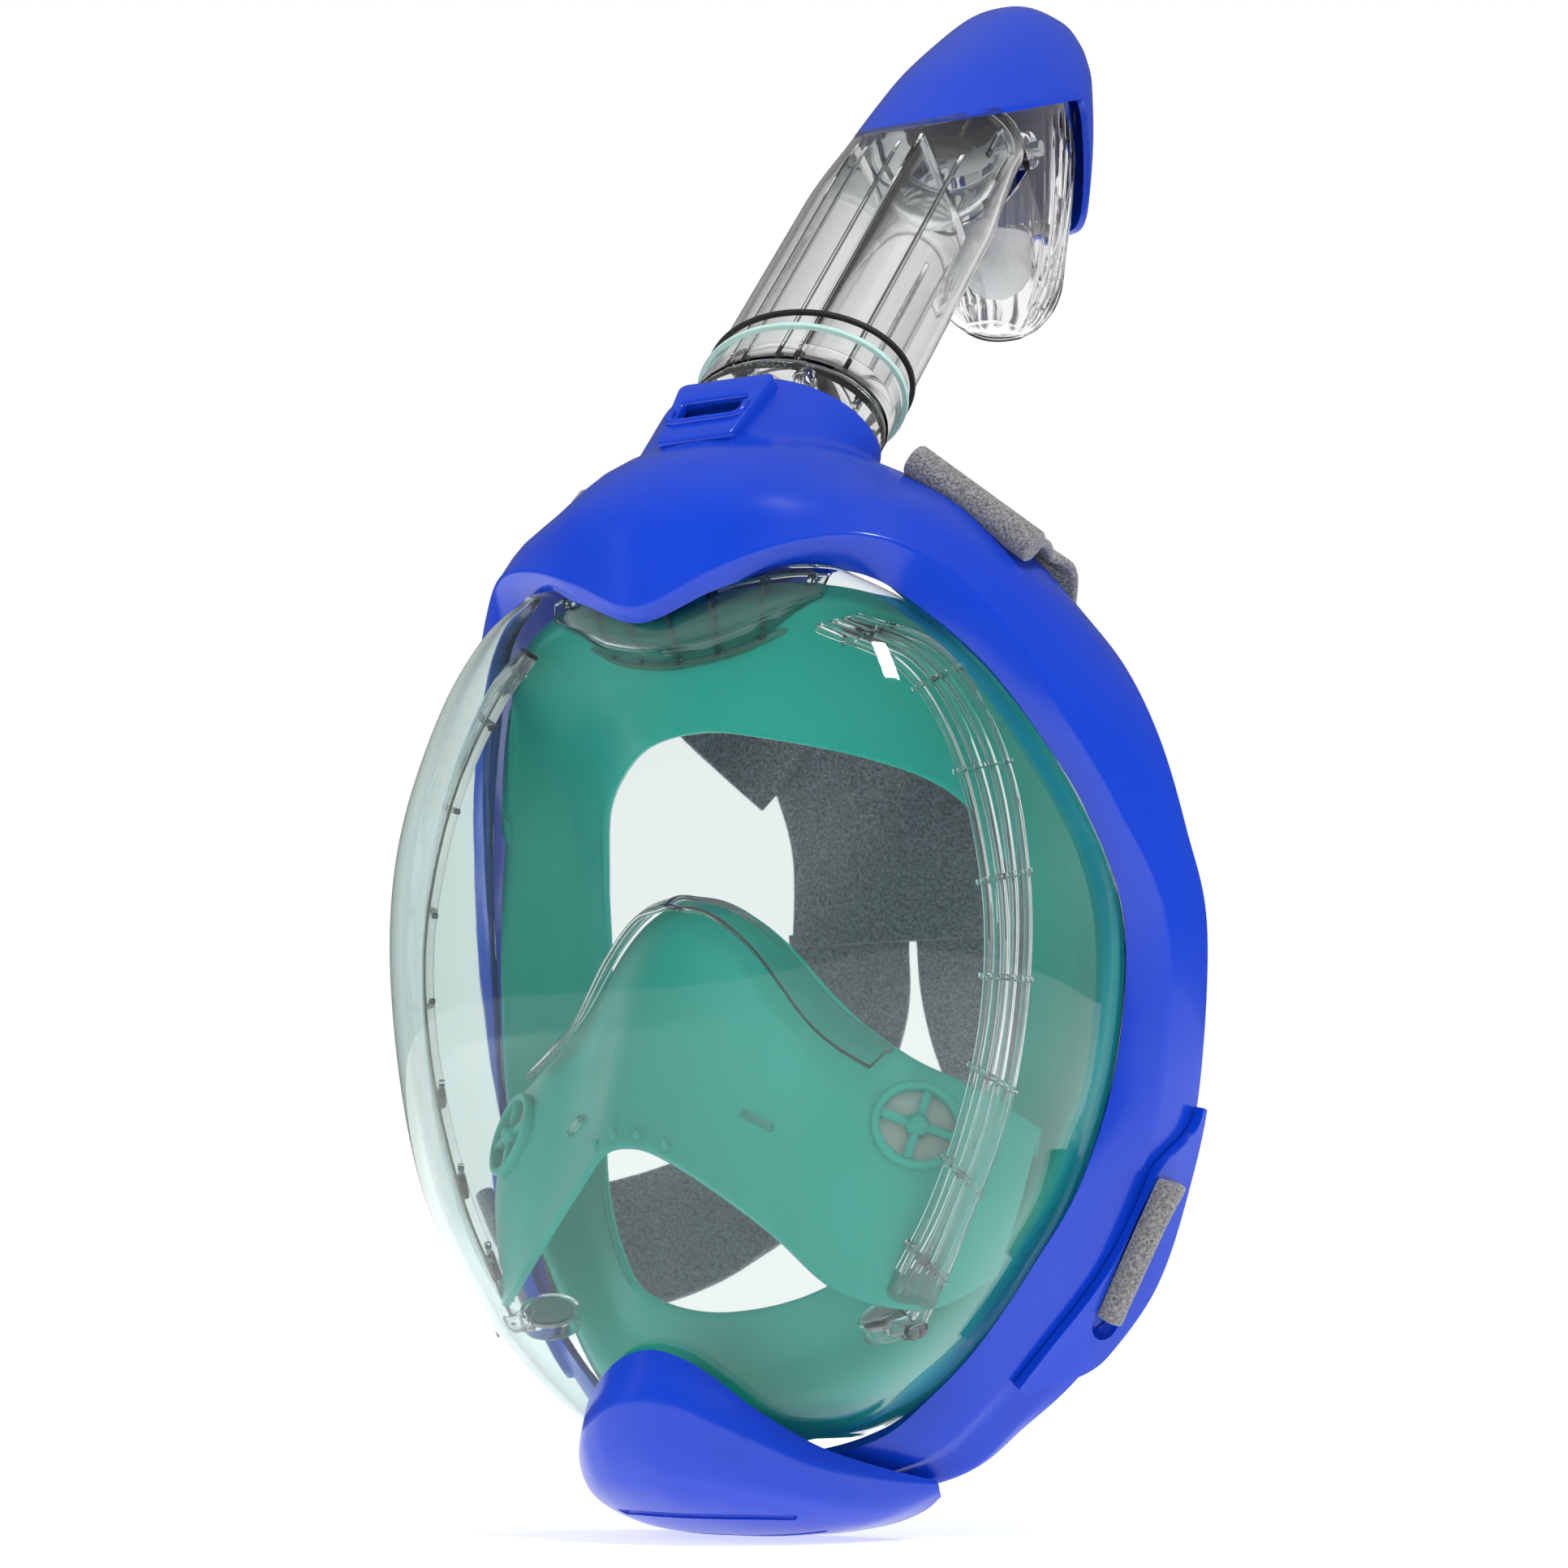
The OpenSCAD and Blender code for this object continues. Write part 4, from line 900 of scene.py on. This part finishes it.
def build_tube():
    ends = (-1.0, TUBE_MOUTH)
    heights = [ends[0], -0.6, *np.linspace(4, TUBE_MOUTH - 3, 30), TUBE_MOUTH - 0.4, ends[1]]
    outer = [tube_size(z, 0.4 if z in ends else 0.0) for z in heights]
    inner = [tube_size(z, TUBE_T - (0.3 if z in ends else 0.0)) for z in heights]
    body = oval_wall("body", outer, inner)
    _, mid, _, _, rise = CAP_ROWS[-1]
    above = [HEAD + (x, y, CAP_ROWS[-1][0] + (y - mid) * rise + z)
             for z in (0.8, 90) for y in (-60, 100) for x in (-60, 60)]
    cut(body, mesh_object("above_the_rim", np.array(above), BLOCK_FACES))
    pieces = [smooth_by_angle(body)]
    for x in (-9.0, 9.0):
        reach = TUBE_RY * math.sqrt(1 - (x / TUBE_RX) ** 2) - 1.2
        path = [on_tube(x, 0, z) for z in np.linspace(0, 96, 25)]
        pieces.append(sweep("wall", path, box_profile(1.1, 2 * reach, 0.3), (1, 0, 0)))
    for x in (-19.5, 19.5, -4.5, 4.5):
        reach = TUBE_RY * math.sqrt(1 - (x / TUBE_RX) ** 2) - TUBE_T
        for sign in (-1, 1):
            path = [on_tube(x, sign * reach, z) for z in np.linspace(1, 92, 20)]
            pieces.append(sweep("rib", path, box_profile(0.9, 1.2, 0.3), (1, 0, 0)))
    tube = joined(pieces, "snorkel_tube_clear")
    return finished(tube, CLEAR, "snorkel", "clear_plastic", "snorkel_tube")


def build_base():
    """Plug of the snorkel: two sleeves, a step, the tongue's window and the small stop knob."""
    plug = oval_wall("plug", [(-32, 25.2, 18.2), (-31, 25.9, 18.9), (-14, 25.9, 18.9), (-2, 25.9, 18.9),
                              (-1.2, 25.6, 18.6)],
                     [(-32, 23.6, 16.6), (-31, 23.0, 16.0), (-14, 23.0, 16.0), (-2, 23.0, 16.0),
                      (-1.2, 23.4, 16.4)])
    cut(plug, tube_block("gap", (-10.6, 10.6), (-25, -5), (-32.6, -19.4)))
    smooth_by_angle(plug)
    sleeve = oval_wall("sleeve", [(-4, 24.2, 17.2), (6, 24.2, 17.2), (6.4, 24.0, 17.0)],
                       [(-4, 23.2, 16.2), (6, 23.2, 16.2), (6.4, 23.5, 16.5)])
    inner = oval_wall("inner", [(-30, 14.5, 12.0), (4, 14.0, 11.6), (4.5, 13.8, 11.4)],
                      [(-30, 13.3, 10.8), (4, 12.8, 10.4), (4.5, 13.0, 10.6)])
    knob = lathe("knob", [(0.2, -1), (2.0, -1), (2.7, 0.2), (3.0, 1.6), (2.5, 3.0), (1.3, 3.8), (0.2, 4)],
                 aimed(on_tube(15.6, -15.5, -9.5), -TUBE_REAR), 32)
    pieces = [plug, sleeve, inner, knob]
    for k in range(10):
        b = math.radians(18 + 36 * k)
        path = [on_tube(22.6 * math.cos(b), 15.6 * math.sin(b), z) for z in np.linspace(-30, -3, 6)]
        pieces.append(sweep("rib", path, box_profile(1.0, 2.4, 0.3), (math.cos(b), 0, 0)))
    return finished(joined(pieces, "snorkel_base_clear"), CLEAR, "snorkel", "clear_plastic",
                    "snorkel_base")


# ---- Dry top ---------------------------------------------------------------------------------
TAIL_DROP = 38.0
CAP_T = 1.8
RING_POWER = 0.8


def level_rings(rows, ss, less=0.0, n=128):
    """Stacked rings: each row is height, middle y, half length, half width and rise."""
    a = np.arange(n) * 2 * math.pi / n
    c, s = (np.sign(v) * np.abs(v) ** RING_POWER for v in (np.cos(a), np.sin(a)))
    out = []
    for height, mid, half_l, half_w, rise in spline(rows, ss):
        y = -(half_l - less) * c
        out.append(np.stack([(half_w - less) * s, mid + y, height + y * rise], 1))
    return HEAD + np.array(out)


def thick_bowl(name, g, thickness):
    """Closed wall on stacked rings whose first ring is closed by a small fan."""
    rings = g.transpose(1, 0, 2)
    n = normals(rings, True)
    if (n * (rings.mean((0, 1)) - rings)).sum() < 0:
        n = -n
    inner = rings + thickness * n
    loop = np.concatenate([rings, inner[:, ::-1]], 1)
    count, m = loop.shape[:2]
    faces = grid_faces(count, m, True, False)
    tips = [loop[:, 0].mean(0), loop[:, -1].mean(0)]
    for i in range(count):
        k = (i + 1) % count
        faces += [[count * m, i * m, k * m], [count * m + 1, k * m + m - 1, i * m + m - 1]]
    return mesh_object(name, np.concatenate([loop.reshape(-1, 3), tips]), faces)


def build_cap():
    """Blue cap. Its rear rim runs down into a bowed flap behind the grille."""
    ss = np.concatenate([[0.02], np.linspace(0.25, len(CAP_ROWS) - 1, 40)])
    g = level_rings(CAP_ROWS, ss)
    rim = g[-1]
    x, y = (rim - HEAD)[:, 0], (rim - HEAD)[:, 1]
    share = ease(y, 34, 62)
    tail = []
    for u in np.linspace(0.06, 1, 18):
        back = 2.0 * math.sin(math.pi * u) - 1.5 * u
        tail.append(rim + share[:, None] * np.stack([-0.05 * x * u, back + 0 * x, -TAIL_DROP * u + 0 * x], 1)
                    - (0, 0, 1.2 * u))
    cap = thick_bowl("snorkel_cap_blue", np.concatenate([g, np.array(tail)]), CAP_T)
    softened(cap, 0.6, 50)
    return finished(cap, BLUE, "snorkel", "frame_blue", "snorkel_cap")


def build_housing():
    ss = np.linspace(0.05, len(HEAD_ROWS) - 1, 60)
    g = level_rings(HEAD_ROWS, ss, 0.0, 192)
    centre = g.mean(1, keepdims=True)
    out = g - centre
    flat = out / np.linalg.norm(out, axis=2, keepdims=True)
    angle = np.arctan2(out[..., 0], out[..., 1])
    height = (g - HEAD)[..., 2]
    rear = ease(np.cos(angle), -0.2, 0.5)
    fade = ease(height, -44, -36) * (1 - ease(height, 0, 12))
    g = g + flat * (0.9 * rear * fade * np.cos(angle * 30))[..., None]
    body = thick_bowl("body", g, 1.7)
    cut(body, oval_block("tube", 0.05, TUBE_MOUTH - 75, TUBE_MOUTH + 4))
    smooth_by_angle(body, 50)
    pieces = [body]
    for x in (-13.5, 13.5):
        pieces.append(lathe("boss", [(2.2, -3), (4.6, -3), (4.9, -2.4), (4.9, 2.4), (4.6, 3), (2.2, 3)],
                            aimed(PIN + (x, 0, 0), (1, 0, 0)), 40))
    return finished(joined(pieces, "dry_top_clear"), CLEAR, "snorkel", "clear_plastic",
                    "dry_top_housing")


def build_grille():
    """Curved ribs between the housing and the cap's flap, joined by two cross bars."""
    pieces = []
    for k in range(-5, 6):
        x = k * 2.3
        path = [HEAD + (x * (1 - 0.1 * u), 54.6 - 1.6 * u - x * x / 42, 21 - 32 * u)
                for u in np.linspace(0, 1, 12)]
        pieces.append(sweep("rib", path, box_profile(1.0, 5.4, 0.4), (1, 0, 0)))
    for z in (18, -9):
        path = [HEAD + (x, 53.4 - x * x / 42, z) for x in np.linspace(-11.2, 11.2, 15)]
        pieces.append(sweep("bar", path, box_profile(1.6, 1.6, 0.4), (0, 0, 1)))
    return finished(joined(pieces, "rear_grille_clear"), CLEAR, "snorkel", "clear_plastic",
                    "rear_grille")


def build_cage():
    """Rounded splash cup in the tube's mouth, with its flange and inner ribs."""
    base = TUBE_MOUTH - 16
    steps = np.linspace(0.06, math.pi / 2, 14)
    outer = [(base - 9.0 * math.cos(a), 20 * math.sin(a), 13.5 * math.sin(a)) for a in steps]
    outer += [(z, 20, 13.5) for z in np.linspace(base + 2, base + 13, 8)]
    outer += [(base + 13.6, 21.4, 15.6), (base + 14.6, 21.6, 15.8)]
    inner = [(z + 1.2, rx - 1.2, ry - 1.2) for z, rx, ry in outer[:-2]]
    g = np.concatenate([oval_grid(outer), oval_grid(inner[::-1])])
    body = capped("cup", g)
    pieces = [body]
    for k in range(12):
        b = math.radians(30 * k + 15)
        path = [on_tube(20.6 * math.cos(b), 14.1 * math.sin(b), z) for z in np.linspace(base, base + 12, 5)]
        pieces.append(sweep("rib", path, box_profile(0.9, 1.6, 0.3), (1, 0, 0.01)))
    # The cage takes the same darker clear plastic, with its painted shade.
    return finished(joined(pieces, "float_cage_clear"), SHADE_TINTED_CLEAR, "snorkel", "clear_plastic", "float_cage")


def build_float():
    """Hollow float, the arm that carries it and the pad that shuts the tube."""
    at = PIN + (0, 13, -22)
    body = lathe("float_body", [(0.2, -12.2), (3.5, -11.8), (6.6, -9.8), (8.4, -7), (9, -5), (9, -0.4),
                                (9.0, 0), (9, 0.4), (9, 4), (8.6, 4.8), (7.8, 5), (5, 5), (4.4, 4.2), (0.2, 4.2)],
                 aimed(at, (0, 0, 1)))
    finished(body, WHITE, "float_swing", "float_white", "float")
    barrel = lathe("barrel", [(2.1, -6), (3.6, -6), (4, -5.6), (4, 5.6), (3.6, 6), (2.1, 6)],
                   aimed(PIN, (1, 0, 0)), 40)
    d = (at - PIN) / np.linalg.norm(at - PIN)
    arm = sweep("arm", [PIN + d * u for u in np.linspace(3.2, 17.5, 6)], box_profile(5, 2.4, 0.6), (1, 0, 0))
    lever = sweep("lever", [on_tube(0, y, TUBE_MOUTH + 13.9) for y in np.linspace(-2, 11.0, 6)],
                  box_profile(5.2, 2.2, 0.6), (1, 0, 0))
    finished(joined([barrel, arm, lever], "float_arm_moulded"), WHITE, "float_swing", "float_white",
             "float_arm")
    z0 = TUBE_MOUTH + 7.4
    stations = [(z0, 1.0, 0.7), (z0, 12.8, 7.6), (z0 + 0.6, 13.6, 8.4), (z0 + 1.8, 13.6, 8.4),
                (z0 + 2.4, 13, 7.8), (z0 + 2.4, 1.0, 0.7)]
    pad = capped("float_seal_pad", oval_grid(stations))
    finished(smooth_by_angle(pad, 60), BLACK, "float_swing", "black_seal", "float_seal")


# ---- Harness ---------------------------------------------------------------------------------
STRAP_W, STRAP_T = 34.0, 2.0


def unit(v):
    v = np.asarray(v, float)
    return v / np.linalg.norm(v)


def build_straps():
    """Four straps of one webbing, each looped over a bar and run back to the head panel."""
    for node, line, widths, ends, r in (
            ("upper_strap", UPPER_LINE, UPPER_WIDTHS, UPPER_ROLL, 3.9),
            ("lower_strap", LOWER_LINE, LOWER_WIDTHS, LOWER_ROLL, 3.0)):
        u = np.linspace(0, len(line) - 1, 14 * (len(line) - 1) + 1)
        path = spline(line, u)
        left = sweep(node + "_left_webbing", path, box_profile(STRAP_W, STRAP_T, STRAP_T * 0.45, 4),
                     spline([unit(w) for w in widths], u))
        right = mirrored(left, node + "_right_webbing")
        for strap, side in ((left, "_left"), (right, "_right")):
            finished(strap, STRAP, "root", "webbing", node + side)
        roll = sweep(node + "_left_roll", np.linspace(*np.array(ends, float), 9), round_profile(r, 24), path[4] - path[0])
        rolls = [roll, mirrored(roll, node + "_right_roll")]
        for strap, part in ((left, rolls[0]), (right, rolls[1])):
            softened(part, 0.8, 50)
            finished(part, STRAP, "root", "webbing")


def on_wall(t, s, off):
    """Point off millimetres outside the side wall."""
    def at(t, s):
        return spline(spline(np.array(WALL_ROWS, float).transpose(1, 0, 2), [t])[0], [s])[0]
    along, across = at(t + 0.05, s) - at(t - 0.05, s), at(t, s + 0.05) - at(t, s - 0.05)
    return at(t, s) + off * unit(np.cross(along, across))


def build_clips():
    """Plate on the lower side wall, with the slot that the lower strap is looped through."""
    ts = np.linspace(9.3, 12.5, 57)
    g = np.array([[on_wall(t, s, 0.0) for s in np.linspace(2.5 - 2.1 * ease(t, 9.3, 10.1),
                                                            2.95 - 1.7 * ease(t, 11.7, 12.5), 13)]
                  for t in ts])
    n = normals(g, False)
    plate_left = shell("lower_clip_left_plate", g + 3.0 * n, g + 0.4 * n, False)
    softened(plate_left, 1.1, 50, 4)
    baked(plate_left)
    a, b = np.array(LOWER_ROLL, float)
    cut(plate_left, capsule("slot", np.linspace(a - 0.04 * (b - a), b + 0.04 * (b - a), 9), 3.5))
    smooth_by_angle(plate_left, 40)
    plate_right = mirrored(plate_left, "lower_clip_right_plate")
    finished(plate_left, BLUE, "root", "frame_blue", "lower_clip_left")
    finished(plate_right, BLUE, "root", "frame_blue", "lower_clip_right")


SEAM_Z = 7.5
PANEL_OUTLINE = [(4, 34), (12, 33), (28, 33.5), (44, 39), (58, 47), (66, 49)]


def build_panel():
    """Padded head panel with a stitched middle seam down to the cross seam near its low edge."""
    rows = [[(w * k / 4, 58.8 + (w * k / 4) ** 2 / 700, z) for k in range(5)] for z, w in PANEL_OUTLINE]
    g = surface(rows, 97, np.linspace(0, 5, 81), "strip")
    n = normals(g, False)
    x, z = g[..., 0], g[..., 2]
    seam = np.exp(-(x / 1.4) ** 2) * ease(z, 8, 10) + np.exp(-((z - SEAM_Z) / 1.3) ** 2)
    edge = np.exp(-((np.abs(x) - np.abs(g[-1:, :, 0])) / 1.6) ** 2)
    sink = (0.32 * seam + 0.28 * edge)[..., None] * n
    panel = shell("panel", g - sink, g - STRAP_T * n + sink, False)
    softened(panel, 0.6, 50)
    stitches = []
    for side in (-1, 1):
        for k in range(36):
            sx, sz = side * 2.1, SEAM_Z + 2.5 + k * 1.5
            y = 58.8 + sx ** 2 / 700
            line = [(sx, y - 0.1, sz), (sx, y + 0.3, sz + 0.5), (sx, y - 0.1, sz + 1.0)]
            stitches.append(sweep("stitch", line, round_profile(0.22, 6), (1, 0, 0)))
    panel = finished(joined([panel, *stitches], "harness_panel_webbing"), STRAP, "root", "webbing",
                     "harness_panel")


# ---- CAD nodes that are shown as they are --------------------------------------------------------
SHOWN = {"lens_gasket": BLACK, "base_o_ring": BLACK, "base_seal": PALE, "latch_tongue": CLEAR,
         "float_pin": STEEL, "frame_screws": STEEL, "drain_seat": TEAL, "drain_valve": VALVE,
         "inhale_valve_left": VALVE, "inhale_valve_right": VALVE, "exhale_valve_left": VALVE,
         "exhale_valve_right": VALVE}


def show_cad_nodes():
    for name, material in SHOWN.items():
        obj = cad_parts[name]
        obj.data.materials.clear()
        obj.data.materials.append(material)
        softened(obj, 0.25, 50, 2)


build_frame()
build_chin()
build_lens()
build_skirt()
build_pocket()
build_bracket()
build_duct()
for part_side in ("left", "right"):
    build_channel(part_side)
build_tube()
build_base()
build_housing()
build_grille()
build_cap()
build_cage()
build_float()
build_clips()
build_panel()
build_straps()
show_cad_nodes()

# ---- Stage -----------------------------------------------------------------------------------
scene = bpy.context.scene
lo, hi = CAD_BOX


def stage_floor():
    mesh = bpy.data.meshes.new("floor")
    r = 6.0
    mesh.from_pydata([(-r, -r, lo.z), (r, -r, lo.z), (r, r, lo.z), (-r, r, lo.z)], [], [[0, 1, 2, 3]])
    floor = bpy.data.objects.new("floor", mesh)
    floor.data.materials.append(floor_material())
    scene.collection.objects.link(floor)


def area_light(name, at, target, size, energy, mirrored_in=True):
    light = bpy.data.lights.new(name, "AREA")
    light.shape, light.size, light.size_y = "RECTANGLE", size[0], size[1]
    light.energy = energy
    obj = bpy.data.objects.new(name, light)
    obj.location = at
    obj.rotation_euler = (Vector(target) - Vector(at)).to_track_quat("-Z", "Y").to_euler()
    obj.visible_glossy = mirrored_in
    obj.visible_transmission = False
    scene.collection.objects.link(obj)


def studio_world():
    """White to look at and through, and greyer for reflections and soft light."""
    world = bpy.data.worlds.new("studio")
    world.use_nodes = True
    nodes, links = world.node_tree.nodes, world.node_tree.links
    place = nodes.new("ShaderNodeTexCoord")
    split = nodes.new("ShaderNodeSeparateXYZ")
    path = nodes.new("ShaderNodeLightPath")
    links.new(place.outputs["Generated"], split.inputs["Vector"])

    def level(stops):
        ramp = nodes.new("ShaderNodeValToRGB")
        links.new(height.outputs[0], ramp.inputs["Fac"])
        while len(ramp.color_ramp.elements) < len(stops):
            ramp.color_ramp.elements.new(0.5)
        for element, (at, grey) in zip(ramp.color_ramp.elements, stops):
            element.position, element.color = at, (grey, grey, grey, 1)
        return ramp.outputs["Color"]

    def mixed(fac, a, b):
        mix = nodes.new("ShaderNodeMix")
        mix.data_type = "RGBA"
        for link, socket in ((fac, 0), (a, 6), (b, 7)):
            links.new(link, mix.inputs[socket])
        return mix.outputs[2]
    height = nodes.new("ShaderNodeMapRange")
    height.inputs["From Min"].default_value = -1.0
    links.new(split.outputs["Z"], height.inputs["Value"])
    around = level([(0.0, 0.35), (0.5, 0.4), (0.75, 0.5), (1.0, 0.65)])
    through = level([(0.0, 0.8), (0.42, 1.0), (0.62, 1.0), (0.78, 0.15)])
    mirrored_in = level([(0.0, 0.2), (0.5, 0.1), (0.75, 0.16), (1.0, 0.4)])
    seen = level([(0.0, 1.0), (1.0, 1.0)])
    colour = mixed(path.outputs["Is Glossy Ray"], around, mirrored_in)
    colour = mixed(path.outputs["Is Transmission Ray"], colour, through)
    links.new(mixed(path.outputs["Is Camera Ray"], colour, seen), nodes["Background"].inputs["Color"])
    scene.world = world


def camera():
    cam = bpy.data.cameras.new("camera")
    cam.lens, cam.sensor_width, cam.clip_start = 83.82, 36.0, 0.02
    obj = bpy.data.objects.new("camera", cam)
    obj.location = (0.418218, -0.745955, -0.080177)
    azimuth, rise = math.radians(30), math.radians(7.8735)
    forward = Vector((-math.sin(azimuth) * math.cos(rise), math.cos(azimuth) * math.cos(rise), math.sin(rise)))
    obj.rotation_euler = forward.to_track_quat("-Z", "Y").to_euler()
    scene.collection.objects.link(obj)
    scene.camera = obj


stage_floor()
studio_world()
area_light("key", (0.9, -0.5, 1.3), (0, 0, 0.05), (0.28, 0.28), 13.0)
area_light("fill", (-1.2, -1.1, 0.5), (0, 0, 0), (0.5, 0.9), 9.0, False)
area_light("back", (-0.3, 1.3, 1.0), (0, 0, 0.1), (0.9, 0.3), 7.0, False)
camera()
scene.view_settings.view_transform = "Standard"
